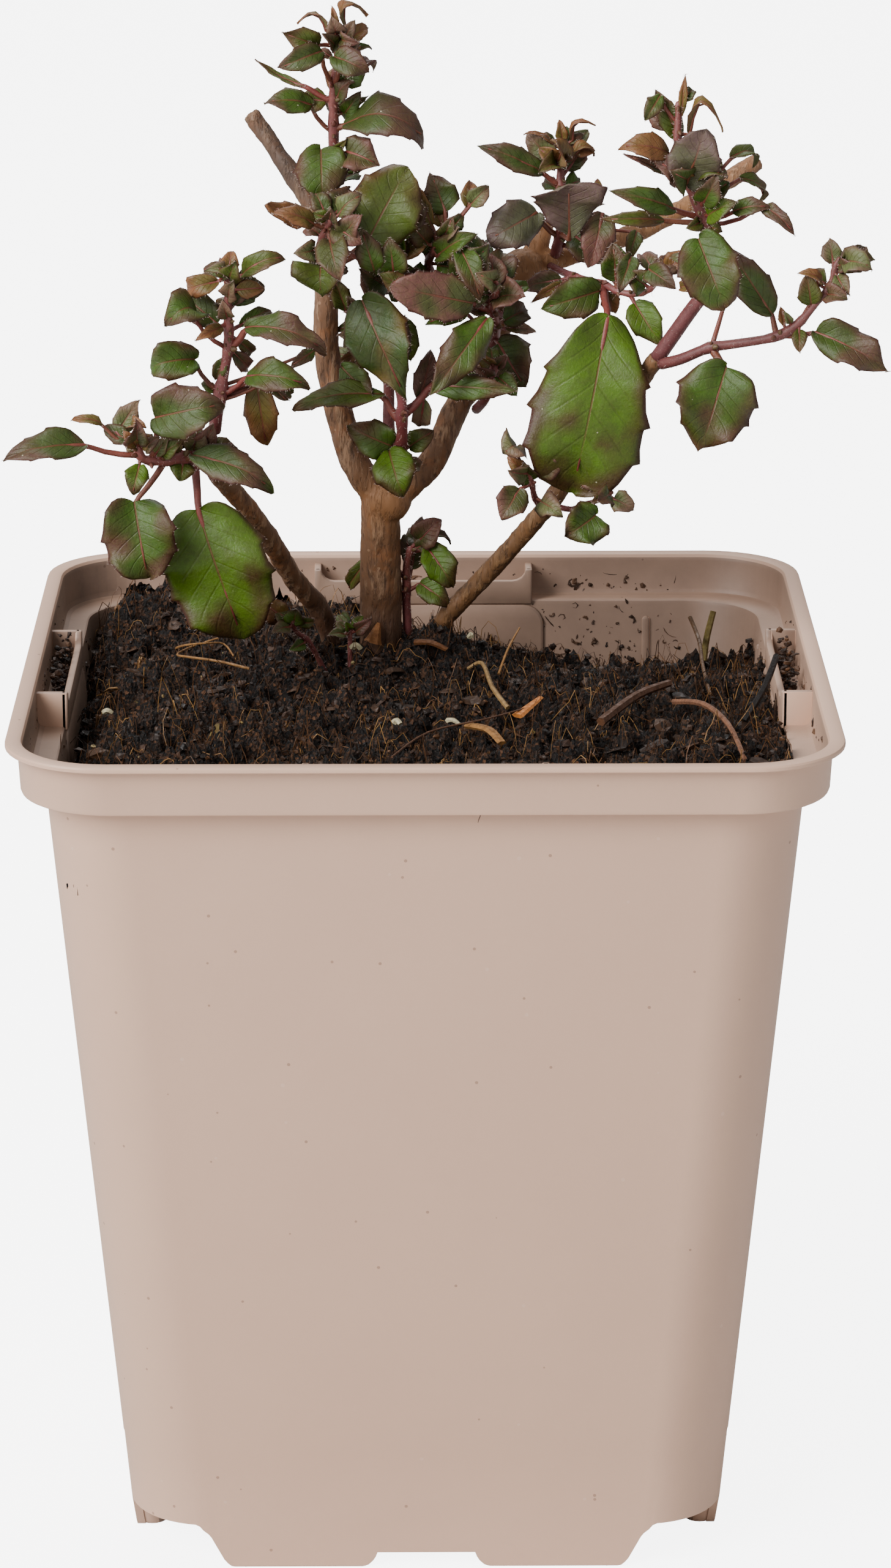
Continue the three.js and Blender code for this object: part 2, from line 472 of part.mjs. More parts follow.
// A raised strip on the inside of the body wall, leaning with it. Grown by margin all round.
function wallStrip({ half, height, proud, corner }, offset, top, margin) {
  const reach = half + margin;
  const round = corner + margin;
  const crown = top + margin;
  const outline = [
    [-reach, top - height - margin],
    [reach, top - height - margin],
    ...quarterArc([reach - round, crown - round], round, 0, 90),
    ...quarterArc([-reach + round, crown - round], round, 90, 180),
  ].map(([x, z]) => [x + offset, z]);
  const slope = (POT.shoulderSide - POT.baseSide) / 2 / (POT.height - POT.skirtHeight - POT.floorHeight);
  const face = bodySide(top) / 2 - POT.wall - proud - margin;
  const strip = upright(outline, face, proud + SUNK + margin);
  return strip.warp((point) => { point[1] += (point[2] - top) * slope; });
}

function pocket(margin) {
  const half = POCKET.half + margin;
  const low = LEDGE_TOP - SUNK - margin;
  const dip = LEDGE_TOP + POCKET.middleHeight + margin;
  const end = LEDGE_TOP + POCKET.endHeight + margin;
  const bend = half - POCKET.thickness - 2 * margin - POCKET.fillet;
  const bulge = POCKET.filletBend;
  const outline = [
    [-half, low],
    [half, low],
    [half, end],
    [half - POCKET.thickness - 2 * margin, end],
    [bend + bulge[0], dip + bulge[1]],
    [bend, dip],
    [-bend, dip],
    [-bend - bulge[0], dip + bulge[1]],
    [-half + POCKET.thickness + 2 * margin, end],
    [-half, end],
  ];
  const face = POCKET.innerFace - margin;
  const wall = upright(outline, face, POCKET.thickness + 2 * margin);
  const cheeks = [-1, 1].map((way) => {
    const edges = [way * half, way * (half - POCKET.thickness - 2 * margin)].sort((a, b) => a - b);
    return box([edges[0], face, low], [edges[1], SKIRT_INNER / 2 + SUNK, end]);
  });
  return wall.add(cheeks[0]).add(cheeks[1]);
}

function wallFittings(margin) {
  const top = LEDGE_TOP - POT.wall;
  const ribs = [-RIB.offset, RIB.offset].map((offset) => wallStrip(RIB, offset, top - RIB.drop, margin));
  return onEachSide(pocket(margin).add(wallStrip(PANEL, 0, top, margin)).add(ribs[0]).add(ribs[1]));
}

function footProfile() {
  const side = (way) => [
    [way * FOOT.bottomHalf, 0],
    [way * FOOT.stepNeck, POT.floorHeight - FOOT.stepDrop],
    [way * FOOT.stepHalf, POT.floorHeight - FOOT.stepDrop + FOOT.stepRise],
    [way * FOOT.topHalf, POT.floorHeight + SUNK],
  ];
  const notch = [
    [-FOOT.notchHalf, 0], [-FOOT.notchTopHalf, FOOT.notchHeight],
    [FOOT.notchTopHalf, FOOT.notchHeight], [FOOT.notchHalf, 0],
  ];
  return [...notch, ...side(1), ...side(-1).reverse()];
}

function buildPot() {
  const reach = POT.lipSide / 2;
  const ledge = LEDGE_TOP - POT.wall;
  const outside = bodyLoft(0, LEDGE_TOP, 0)
    .add(skirtLoft(ledge, POT.height, POT.skirtSide, POT.skirtRadius, POT.skirtTaper))
    .add(skirtLoft(POT.height - POT.lipThickness, POT.height, POT.lipSide, POT.lipRadius, 0));
  const insides = bodyLoft(FLOOR_TOP, LEDGE_TOP + SUNK, POT.wall)
    .add(skirtLoft(LEDGE_TOP, POT.height + SUNK, SKIRT_INNER, POT.skirtRadius - POT.wall, POT.skirtTaper))
    .add(bodyLoft(-SUNK, POT.floorHeight, POT.wall));
  const tab = upright(footProfile(), -reach, 2 * reach);
  const corners = box([-reach, -reach, -SUNK], [reach, reach, POT.floorHeight])
    .subtract(tab)
    .subtract(tab.rotate([0, 0, 90]));
  const slots = onEachSide([-SLOT.near, SLOT.near].map((x) => box(
    [x - SLOT.width / 2, SLOT.far - SLOT.length, POT.floorHeight - SUNK],
    [x + SLOT.width / 2, SLOT.far, FLOOR_TOP + SUNK],
  )).reduce((a, b) => a.add(b)));
  const shell = outside.subtract(insides).subtract(corners).subtract(slots);
  const envelope = skirtLoft(0, POT.height - POT.lipThickness, POT.skirtSide - POT.wall, POT.skirtRadius, 0);
  return shell.add(wallFittings(0).intersect(envelope));
}

// ---------------------------------------------------------------- soil

const bell = (distance) => Math.exp(-distance * distance);

function soilHeight(x, y) {
  const { moundCentre, heapCentre, dipCentre, dipReach } = SOIL;
  const mound = SOIL.moundRise * bell(Math.hypot(x - moundCentre[0], y - moundCentre[1]) / SOIL.moundReach);
  const heap = SOIL.heapRise * bell(Math.hypot(x - heapCentre[0], y - heapCentre[1]) / SOIL.heapReach);
  const dip = SOIL.dipDrop * bell(Math.hypot((x - dipCentre[0]) / dipReach[0], (y - dipCentre[1]) / dipReach[1]));
  const gap = SOIL.wallGap * bell((x + SKIRT_INNER / 2) / SOIL.wallGapReach);
  const [across, back, slantBack, slantAcross] = SOIL.lumpRate;
  const waves = Math.sin(across * x + 1) * Math.cos(back * y) + Math.sin(slantBack * y - slantAcross * x);
  return SOIL.level + mound + heap - dip - gap + SOIL.lumpHeight * waves;
}

// A solid block with the soil's surface on top, as wide as the pot's skirt.
function soilBlock() {
  const { cells } = SOIL;
  const row = cells + 1;
  const place = (i) => SKIRT_INNER * (i / cells - 0.5);
  const points = Array.from({ length: row * row }, (_, n) => {
    const [x, y] = [place(n % row), place(Math.floor(n / row))];
    return new THREE.Vector3(x, y, soilHeight(x, y));
  });
  const triangles = [];
  for (let n = 0; n < cells * row; n += 1) {
    if (n % row < cells) triangles.push(n, n + 1, n + row + 1, n, n + row + 1, n + row);
  }

  const steps = Array.from({ length: cells }, (_, i) => i);
  const rim = [
    ...steps,
    ...steps.map((i) => i * row + cells),
    ...steps.map((i) => row * row - 1 - i),
    ...steps.map((i) => (cells - i) * row),
  ];
  const foot = points.length;
  points.push(...rim.map((n) => points[n].clone().setZ(FLOOR_TOP + CLEARANCE)));
  const middle = points.length;
  points.push(new THREE.Vector3(0, 0, FLOOR_TOP + CLEARANCE));
  rim.forEach((high, i) => {
    const next = (i + 1) % rim.length;
    triangles.push(foot + i, foot + next, rim[next], foot + i, rim[next], high);
    triangles.push(middle, foot + next, foot + i);
  });
  return solidOfTriangles(points, triangles);
}

function buildSoil(stems) {
  const room = bodyLoft(FLOOR_TOP - SUNK, LEDGE_TOP + CLEARANCE, POT.wall + CLEARANCE)
    .add(skirtLoft(
      LEDGE_TOP + CLEARANCE, POT.height + SUNK,
      SKIRT_INNER - 2 * CLEARANCE, POT.skirtRadius - POT.wall - CLEARANCE, POT.skirtTaper,
    ));
  return largestBody(soilBlock().intersect(room).subtract(wallFittings(CLEARANCE)).subtract(stems));
}

// ---------------------------------------------------------------- stems and leaves

// A many-sided limb along a route, tapering from its first radius to its last.
function limb(route, [thick, thin], sides, margin = 0) {
  const points = route.map(vector);
  const rings = [];
  let across = new THREE.Vector3(1, 0, 0);
  points.forEach((point, i) => {
    const ahead = points[Math.min(i + 1, points.length - 1)].clone().sub(points[Math.max(i - 1, 0)]).normalize();
    across = across.clone().sub(ahead.clone().multiplyScalar(across.dot(ahead))).normalize();
    const other = ahead.clone().cross(across);
    const radius = THREE.MathUtils.lerp(thick, thin, i / (points.length - 1)) + margin;
    const end = i === 0 ? -margin : Number(i === points.length - 1) * margin;
    rings.push(Array.from({ length: sides }, (_, side) => {
      const angle = (2 * Math.PI * side) / sides;
      return point.clone()
        .addScaledVector(across, radius * Math.cos(angle))
        .addScaledVector(other, radius * Math.sin(angle))
        .addScaledVector(ahead, end);
    }));
  });
  return loft(rings);
}

function knob({ at, size }, margin) {
  const ball = new THREE.SphereGeometry(1, WOOD_SIDES, WOOD_SIDES - 2);
  return solidOf(ball.scale(...size.map((radius) => radius + margin)).translate(...at));
}

function woody({ limbs, knobs }, margin = 0) {
  return [
    ...limbs.map(({ route, radius }) => limb(route, radius, WOOD_SIDES, margin)),
    ...knobs.map((one) => knob(one, margin)),
  ].reduce((all, one) => all.add(one));
}

function pointAt(route, station) {
  const start = Math.min(Math.floor(station), route.length - 2);
  return vector(route[start]).lerp(vector(route[start + 1]), station - start);
}

// The middle line of a blade, which arches towards the side that it faces.
function bladeLine(start, tip, arch, facing) {
  const middle = start.clone().add(tip).multiplyScalar(0.5).addScaledVector(facing, 2 * arch);
  return new THREE.QuadraticBezierCurve3(start, middle, tip);
}

// Where each cross-section of a leaf lies, from its root in the stem to its tip.
function leafSections(route, [station, reach, width, arch, tilt, stalk]) {
  const root = pointAt(route, station);
  const tip = root.clone().add(vector(reach));
  const start = root.clone().add(stalk ? vector(stalk) : vector(reach).multiplyScalar(STALK_SHARE));
  const along = tip.clone().sub(start).normalize();
  const turn = THREE.MathUtils.degToRad(tilt);
  const facing = new THREE.Vector3(0, -Math.sin(turn), Math.cos(turn));
  facing.addScaledVector(along, -facing.dot(along)).normalize();
  const across = along.clone().cross(facing);
  const line = bladeLine(start, tip, arch, facing);
  const { folded, edge } = OUTLINES.find(({ upTo }) => tip.distanceTo(start) < upTo);

  const stalkSection = (at) => ({ at, across, normal: facing, half: STALK_HALF, columns: [-1, 1], fold: 0 });
  const blade = [...edge, [1, 0]].map(([share, breadth]) => ({
    at: line.getPoint(share),
    across,
    normal: across.clone().cross(line.getTangent(share)).normalize(),
    half: (breadth * width) / 2,
    columns: folded ? [-1, 0, 1] : [-1, 1],
    fold: folded ? LEAF_FOLD : 0,
  }));
  blade[blade.length - 1].columns = [0];
  return [stalkSection(root), ...(folded || stalk ? [stalkSection(start)] : []), ...blade];
}

function facePoints({ at, across, normal, half, columns, fold }, lift) {
  return columns.map((way) => at.clone()
    .addScaledVector(across, way * half * Math.cos(fold))
    .addScaledVector(normal, Math.abs(way) * half * Math.sin(fold) + lift));
}

// Triangles between two rows that may have different numbers of points. Both rows run from left to right.
function zip(near, far) {
  const triangles = [];
  let [i, j] = [0, 0];
  while (i + 1 < near.length || j + 1 < far.length) {
    const nearShare = i + 1 < near.length ? (i + 1) / near.length : Infinity;
    const farShare = j + 1 < far.length ? (j + 1) / far.length : Infinity;
    if (farShare <= nearShare) {
      triangles.push([near[i], far[j + 1], far[j]]);
      j += 1;
    } else {
      triangles.push([near[i], near[i + 1], far[j]]);
      i += 1;
    }
  }
  return triangles;
}

const turnedOver = (triangles) => triangles.map(([a, b, c]) => [a, c, b]);

function leaf(route, row) {
  const points = [];
  const keep = (list) => list.map((point) => points.push(point) - 1);
  const rows = leafSections(route, row).map((section) => ({
    upper: keep(facePoints(section, LEAF_THICKNESS / 2)),
    lower: keep(facePoints(section, -LEAF_THICKNESS / 2)),
  }));
  const triangles = zip(rows[0].lower, rows[0].upper);
  for (let i = 0; i + 1 < rows.length; i += 1) {
    const [near, far] = [rows[i], rows[i + 1]];
    const rims = [near.lower.at(0), near.upper.at(0), far.lower.at(0), far.upper.at(0)];
    const otherRims = [near.upper.at(-1), near.lower.at(-1), far.upper.at(-1), far.lower.at(-1)];
    triangles.push(
      ...zip(near.upper, far.upper),
      ...turnedOver(zip(near.lower, far.lower)),
      ...zip(rims.slice(0, 2), rims.slice(2)),
      ...zip(otherRims.slice(0, 2), otherRims.slice(2)),
    );
  }
  return solidOfTriangles(points, triangles.flat());
}

function leafyShoot({ route, radius, leaves }, wood) {
  const grown = leaves
    .map((row) => leaf(route, row))
    .reduce((all, one) => all.add(one), limb(route, radius, SHOOT_SIDES));
  return largestBody(grown.subtract(wood));
}

// ---------------------------------------------------------------- the part

const FINISHES = {
  taupePlastic: { color: 0xc6b4a6, roughness: 0.55 },
  pottingSoil: { color: 0x2c221d, roughness: 0.95 },
  bark: { color: 0x7a5a3f, roughness: 0.8 },
  leafGreen: { color: 0x5f7336, roughness: 0.45 },
  leafBronze: { color: 0x6a5a48, roughness: 0.45 },
};
const BRONZE_SHOOTS = ['top_shoot', 'upper_right_shoot', 'left_low_shoot', 'right_top_shoot'];

const part = new THREE.Group();
part.position.x = SIDE_SHIFT;

function addPiece(name, solid, finish) {
  const { vertProperties, triVerts } = solid.getMesh();
  const geometry = new THREE.BufferGeometry();
  geometry.setAttribute('position', new THREE.BufferAttribute(vertProperties, 3));
  geometry.setIndex(new THREE.BufferAttribute(triVerts, 1));
  geometry.computeVertexNormals();
  const mesh = new THREE.Mesh(geometry, new THREE.MeshStandardMaterial({ metalness: 0, ...finish }));
  mesh.name = name;
  part.add(mesh);
}

const stemClearance = Object.values(WOOD).map((stem) => woody(stem, CLEARANCE)).reduce((a, b) => a.add(b));
const footClearance = ['foot_shoot', 'soil_sprig', 'star_sprig']
  .map((name) => limb(SHOOTS[name].route, SHOOTS[name].radius, SHOOT_SIDES, CLEARANCE))
  .reduce((a, b) => a.add(b));

addPiece('pot', buildPot(), FINISHES.taupePlastic);
addPiece('soil', buildSoil(stemClearance.add(footClearance)), FINISHES.pottingSoil);
for (const [name, stem] of Object.entries(WOOD)) {
  addPiece(name, woody(stem), FINISHES.bark);
}
for (const [name, shoot] of Object.entries(SHOOTS)) {
  const finish = BRONZE_SHOOTS.includes(name) ? FINISHES.leafBronze : FINISHES.leafGreen;
  addPiece(name, leafyShoot(shoot, stemClearance), finish);
}

export default part;
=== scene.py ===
"""A pruned young fuchsia in a square nursery pot, dressed for its portrait.

Sizes are millimetres, measured from the middle of the pot's foot: x to the right, y away from the
pot's front, z up. `world_point` turns them into the frame's metres.
"""

import logging
import math
import random
from collections.abc import Callable, Iterable, Sequence
from dataclasses import dataclass
from enum import Enum

import bmesh
import bpy
from mathutils import Matrix, Vector, noise

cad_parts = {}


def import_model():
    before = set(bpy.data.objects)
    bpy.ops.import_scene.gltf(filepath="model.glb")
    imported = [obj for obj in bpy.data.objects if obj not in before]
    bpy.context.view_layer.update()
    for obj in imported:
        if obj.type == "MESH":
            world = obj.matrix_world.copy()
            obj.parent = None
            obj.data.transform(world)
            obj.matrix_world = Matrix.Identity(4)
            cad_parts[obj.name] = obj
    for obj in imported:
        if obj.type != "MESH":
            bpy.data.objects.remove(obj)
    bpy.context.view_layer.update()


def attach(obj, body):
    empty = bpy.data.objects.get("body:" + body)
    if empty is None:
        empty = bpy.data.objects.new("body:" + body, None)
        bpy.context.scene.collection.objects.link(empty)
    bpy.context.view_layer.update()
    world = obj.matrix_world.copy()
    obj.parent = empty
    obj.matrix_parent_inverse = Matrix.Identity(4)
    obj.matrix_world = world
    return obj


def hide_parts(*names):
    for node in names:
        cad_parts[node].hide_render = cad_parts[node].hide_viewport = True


log = logging.getLogger("potted_fuchsia")

MM = 0.001
SIDE_SHIFT = -2.5
BODY = "root"
SIDE_TURNS = tuple(side * math.pi / 2 for side in range(4))
STATIONS_PER_STRETCH = 4

Colour = tuple[float, float, float, float]
Socket = bpy.types.NodeSocket
Node = bpy.types.Node
Material = bpy.types.Material
Piece = bpy.types.Object
Triple = tuple[float, float, float]


# ---------------------------------------------------------------- small helpers


def srgb(red: int, green: int, blue: int) -> Colour:
    """Turns a colour as seen on a screen, from 0 to 255, into the linear one that shaders use."""
    return (*(((value / 255 + 0.055) / 1.055) ** 2.4 for value in (red, green, blue)), 1.0)


def blend(first: Sequence[float], second: Sequence[float], share: float) -> Colour:
    """Returns the colour at a share of the way from the first one to the second."""
    share = min(max(share, 0.0), 1.0)
    return tuple(a + (b - a) * share for a, b in zip(first, second))


def ramp(value: float, low: float, high: float) -> float:
    """Returns 0 up to low, 1 from high on, and a soft step between them."""
    share = min(max((value - low) / (high - low), 0.0), 1.0)
    return share * share * (3 - 2 * share)


def bell(distance: float) -> float:
    """Returns a soft bump, 1 in the middle and near 0 from a distance of 2 on."""
    return math.exp(-distance * distance)


def world_point(point: Iterable[float]) -> Vector:
    """Turns millimetres from the pot's middle into metres in the frame."""
    x, y, z = point
    return Vector((x + SIDE_SHIFT, y, z)) * MM


def clear_selection() -> None:
    """Leaves nothing selected, so that an operator acts on the new piece alone."""
    if bpy.context.object and bpy.context.object.mode != "OBJECT":
        bpy.ops.object.mode_set(mode="OBJECT")
    bpy.ops.object.select_all(action="DESELECT")


def activate(piece: Piece) -> None:
    """Makes one piece the selected and active one."""
    clear_selection()
    piece.select_set(True)
    bpy.context.view_layer.objects.active = piece


def apply_modifier(piece: Piece, kind: str, **settings: object) -> None:
    """Adds a modifier to a piece and applies it at once.

    Args:
        piece: The piece to change.
        kind: The modifier's type.
        **settings: Its settings by name.
    """
    activate(piece)
    modifier = piece.modifiers.new(kind.title(), kind)
    for name, value in settings.items():
        setattr(modifier, name, value)
    bpy.ops.object.modifier_apply(modifier=modifier.name)


def begin_edit(piece: Piece) -> None:
    """Opens a piece's mesh for editing, with all of it selected."""
    activate(piece)
    bpy.ops.object.mode_set(mode="EDIT")
    bpy.ops.mesh.select_all(action="SELECT")


def end_edit() -> None:
    """Turns every face of the mesh in hand outwards, and closes it again."""
    bpy.ops.mesh.select_all(action="SELECT")
    bpy.ops.mesh.normals_make_consistent(inside=False)
    bpy.ops.object.mode_set(mode="OBJECT")


def coat(piece: Piece, material: Material) -> None:
    """Gives a piece one material in place of any that it has."""
    piece.data.materials.clear()
    piece.data.materials.append(material)


def join(pieces: Sequence[Piece], name: str) -> Piece:
    """Joins several objects into the first one.

    Args:
        pieces: The objects, the one that stays first.
        name: The joined object's name.

    Returns:
        The joined object.
    """
    clear_selection()
    for piece in pieces:
        piece.select_set(True)
    bpy.context.view_layer.objects.active = pieces[0]
    if len(pieces) > 1:
        bpy.ops.object.join()
    pieces[0].name = name
    pieces[0].data.name = name
    return pieces[0]


def settle(piece: Piece, slot: str, *nodes: str) -> None:
    """Lets a finished piece stand for its nodes and ride on the part's one body.

    Args:
        piece: The finished piece.
        slot: The record's material slot for the piece; not used.
        *nodes: The nodes of the frame that it stands for.
    """
    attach(piece, BODY)
    if nodes:
        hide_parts(*nodes)
    log.info("%s: %d faces", piece.name, len(piece.data.polygons))


# ---------------------------------------------------------------- finishes


class Graph:
    """A node tree that is being wired."""

    def __init__(self, tree: bpy.types.NodeTree) -> None:
        """Keeps the tree that nodes are added to."""
        self.tree = tree

    def feed(self, socket: Socket, value: object) -> None:
        """Links another node's output to a socket, or sets the socket's value."""
        if isinstance(value, Socket):
            self.tree.links.new(value, socket)
        else:
            socket.default_value = value

    def add(self, kind: str, inputs: dict | None = None, **settings: object) -> Node:
        """Adds a node.

        Args:
            kind: The node's type.
            inputs: What goes into its sockets: a value, or another node's output.
            **settings: The node's own settings by name.

        Returns:
            The new node.
        """
        node = self.tree.nodes.new(kind)
        for name, value in settings.items():
            setattr(node, name, value)
        for name, value in (inputs or {}).items():
            self.feed(node.inputs[name], value)
        return node

    def layer(self, name: str) -> Node:
        """Adds a node that reads a colour kept at each vertex."""
        return self.add("ShaderNodeVertexColor", layer_name=name)

    def maths(self, operation: str, *values: object) -> Socket:
        """Adds a Math node on up to three values and returns its result."""
        return self.add("ShaderNodeMath", dict(enumerate(values)), operation=operation).outputs[0]

    def times(self, first: object, second: object) -> Socket:
        """Returns one value times another."""
        return self.maths("MULTIPLY", first, second)

    def raised(self, value: object, factor: float, start: object) -> Socket:
        """Returns a value times a factor, from a start."""
        return self.maths("MULTIPLY_ADD", value, factor, start)

    def rest(self, value: object) -> Socket:
        """Returns what a value leaves of 1."""
        return self.maths("SUBTRACT", 1.0, value)

    def mix(self, share: object, first: object, second: object,
            how: str = "MIX") -> Socket:
        """Adds a colour mix.

        Args:
            share: How much of the second colour shows, from 0 to 1.
            first: The colour underneath.
            second: The colour laid over it.
            how: The way that the two are blended.

        Returns:
            The mixed colour.
        """
        node = self.add("ShaderNodeMix", data_type="RGBA", blend_type=how)
        sockets = [socket for socket in node.inputs if socket.enabled]
        for socket, value in zip(sockets, (share, first, second)):
            self.feed(socket, value)
        return next(socket for socket in node.outputs if socket.enabled)

    def lay(self, over: object, mask: object, strength: float, under: object) -> Socket:
        """Lays a colour at a strength over the one under it, where a mask shows."""
        return self.mix(self.times(mask, strength), under, over)

    def step(self, value: object, low: object, high: object) -> Socket:
        """Adds a soft step of a value, from 0 at low to 1 at high."""
        node = self.add(
            "ShaderNodeMapRange",
            {"Value": value, "From Min": low, "From Max": high},
            interpolation_type="SMOOTHSTEP",
        )
        return node.outputs["Result"]

    def effect(self, group: bpy.types.NodeTree, **inputs: object) -> dict[str, Socket]:
        """Places a shared effect with inputs by name, and returns its outputs by name."""
        node = self.add("ShaderNodeGroup", inputs, node_tree=group)
        return {socket.name: socket for socket in node.outputs}


def new_effect(name: str, inputs: dict[str, float],
               outputs: Sequence[str]) -> tuple[Graph, dict, dict]:
    """Starts a node group that several finishes share.

    Args:
        name: The group's name.
        inputs: Its number inputs and their usual values, besides the Vector that all have.
        outputs: The names of the masks that it puts out.

    Returns:
        The group's graph, its input sockets by name, and its output sockets by name.
    """
    tree = bpy.data.node_groups.new(name, "ShaderNodeTree")
    tree.interface.new_socket("Vector", in_out="INPUT", socket_type="NodeSocketVector")
    for label, value in inputs.items():
        socket = tree.interface.new_socket(label, in_out="INPUT", socket_type="NodeSocketFloat")
        socket.default_value = value
    for label in outputs:
        tree.interface.new_socket(label, in_out="OUTPUT", socket_type="NodeSocketFloat")
    graph = Graph(tree)
    entry = graph.add("NodeGroupInput")
    leave = graph.add("NodeGroupOutput")
    return graph, {s.name: s for s in entry.outputs}, {s.name: s for s in leave.inputs}


class Effects:
    """The effects that more than one finish uses, each built once."""

    def __init__(self) -> None:
        """Builds the groups."""
        self.mottle = self._mottle()
        self.specks = self._specks()

    @staticmethod
    def _mottle() -> bpy.types.NodeTree:
        """Builds cloudy patches with a soft edge."""
        usual = {"Size": 1.0, "Low": 0.4, "High": 0.6}
        graph, given, put = new_effect("mottle", usual, ["Mask", "Cloud"])
        place = {"Vector": given["Vector"], "Scale": graph.maths("DIVIDE", 1 / MM, given["Size"])}
        noisy = graph.add("ShaderNodeTexNoise", {**place, "Detail": 5.0, "Roughness": 0.62})
        cloud = noisy.outputs["Fac"]
        graph.feed(put["Mask"], graph.step(cloud, given["Low"], given["High"]))
        graph.feed(put["Cloud"], cloud)
        return graph.tree

    @staticmethod
    def _specks() -> bpy.types.NodeTree:
        """Builds small dots that stand far apart."""
        usual = {"Spacing": 1.0, "Dot": 0.1, "Share": 0.3}
        graph, given, put = new_effect("specks", usual, ["Mask"])
        place = {"Vector": given["Vector"], "Scale": graph.maths("DIVIDE", 1 / MM, given["Spacing"])}
        cells = graph.add("ShaderNodeTexVoronoi", {**place, "Randomness": 1.0})
        near = graph.maths("LESS_THAN", cells.outputs["Distance"], given["Dot"])
        pick = graph.add("ShaderNodeSeparateColor", {"Color": cells.outputs["Color"]}).outputs["Red"]
        chosen = graph.maths("LESS_THAN", pick, given["Share"])
        graph.feed(put["Mask"], graph.times(near, chosen))
        return graph.tree


@dataclass(frozen=True)
class Finish:
    """A surface finish. Each kind wires its own colour, roughness and relief.

    Attributes:
        name: The material's name.
        effects: The shared effects.
    """

    name: str
    effects: Effects

    def material(self) -> Material:
        """Builds the material and returns it."""
        material = bpy.data.materials.new(self.name)
        material.use_nodes = True
        graph = Graph(material.node_tree)
        shader = material.node_tree.nodes["Principled BSDF"]
        self.wire(graph, shader, graph.add("ShaderNodeTexCoord").outputs["Object"])
        return material

    def wire(self, graph: Graph, shader: Node, place: Socket) -> None:
        """Wires the finish.

        Args:
            graph: The material's graph.
            shader: Its Principled BSDF.
            place: The place on the object, in metres.
        """
        raise NotImplementedError

    def mottle(self, graph: Graph, place: Socket, size: float, low: float,
               high: float) -> dict[str, Socket]:
        """Places clouds of a size in millimetres, and a mask of where they go from low to high."""
        return graph.effect(self.effects.mottle, Vector=place, Size=size, Low=low, High=high)

    def specks(self, graph: Graph, place: Socket, spacing: float, dot: float,
               share: float) -> Socket:
        """Places dots at a spacing in millimetres, of a radius against it, and only a share of them."""
        dots = graph.effect(self.effects.specks, Vector=place, Spacing=spacing, Dot=dot, Share=share)
        return dots["Mask"]

    def put(self, graph: Graph, shader: Node, colour: object, roughness: object,
            height: object = None, depth: float = 0.1) -> None:
        """Joins colour, roughness and relief to the shader.

        Args:
            graph: The material's graph.
            shader: Its Principled BSDF.
            colour: The base colour.
            roughness: The roughness.
            height: The relief, from 0 to 1, if there is any.
            depth: How deep the relief is, in millimetres.
        """
        graph.feed(shader.inputs["Base Color"], colour)
        graph.feed(shader.inputs["Roughness"], roughness)
        if height is not None:
            relief = {"Height": height, "Strength": 1.0, "Distance": depth * MM}
            bump = graph.add("ShaderNodeBump", relief)
            graph.feed(shader.inputs["Normal"], bump.outputs["Normal"])


@dataclass(frozen=True)
class PotPlastic(Finish):
    """Taupe moulded plastic: recycled, so flecked, with dust and a few scuffs."""

    body: Colour = srgb(203, 165, 141)
    warm: Colour = srgb(206, 168, 143)
    fleck: Colour = srgb(120, 84, 66)
    dust: Colour = srgb(216, 186, 166)
    # The inside's soil colour is partly a soil film and partly painted shade of the pot's inside.
    soil_film_and_shade: Colour = srgb(72, 59, 51)

    def wire(self, graph: Graph, shader: Node, place: Socket) -> None:
        """Wires flecks, faint clouds of dust, and a soil film with painted shade on the inside; see
        Finish.wire.
        """
        cloud = self.mottle(graph, place, size=22.0, low=0.35, high=0.7)
        grain = self.mottle(graph, place, size=0.35, low=0.3, high=0.7)
        flecks = self.specks(graph, place, spacing=2.6, dot=0.07, share=0.35)
        pale = self.specks(graph, place, spacing=3.7, dot=0.06, share=0.3)
        colour = graph.mix(cloud["Mask"], self.body, self.warm)
        colour = graph.lay(self.dust, grain["Cloud"], 0.12, colour)
        colour = graph.lay(self.fleck, flecks, 0.55, colour)
        colour = graph.lay(self.dust, pale, 0.4, colour)
        # Painted shade: inner faces are darkened towards the soil colour, partly for a soil film and partly
        # for the shade inside the pot.
        inner = graph.layer("inner").outputs["Color"]
        film_and_shade_cloud = self.mottle(graph, place, size=7.0, low=0.3, high=0.75)
        soil_film_and_shade = graph.times(inner, graph.raised(film_and_shade_cloud["Mask"], 0.14, 0.74))
        colour = graph.mix(soil_film_and_shade, colour, self.soil_film_and_shade)
        roughness = graph.raised(grain["Cloud"], 0.18, 0.4)
        self.put(graph, shader, colour, roughness, grain["Cloud"], 0.012)


@dataclass(frozen=True)
class PottingMix(Finish):
    """Dark peat with brown and reddish crumbs."""

    dark: Colour = srgb(16, 10, 7)
    brown: Colour = srgb(62, 41, 27)
    red: Colour = srgb(94, 62, 40)

    def wire(self, graph: Graph, shader: Node, place: Socket) -> None:
        """Wires crumbs of three browns; see Finish.wire."""
        crumbs = graph.add("ShaderNodeTexVoronoi", {"Vector": place, "Scale": 2900.0})
        pick = graph.add("ShaderNodeSeparateColor", {"Color": crumbs.outputs["Color"]})
        cloud = self.mottle(graph, place, size=5.0, low=0.4, high=0.65)
        fine = self.mottle(graph, place, size=0.5, low=0.35, high=0.65)
        colour = graph.mix(graph.step(pick.outputs["Red"], 0.5, 1.0), self.dark, self.brown)
        colour = graph.mix(graph.step(pick.outputs["Green"], 0.82, 1.0), colour, self.red)
        colour = graph.lay(self.dark, cloud["Mask"], 0.4, colour)
        height = graph.raised(fine["Cloud"], 2.0, crumbs.outputs["Distance"])
        self.put(graph, shader, colour, graph.raised(fine["Mask"], 0.5, 0.3), height, 0.3)
        shader.inputs["Specular IOR Level"].default_value = 0.28


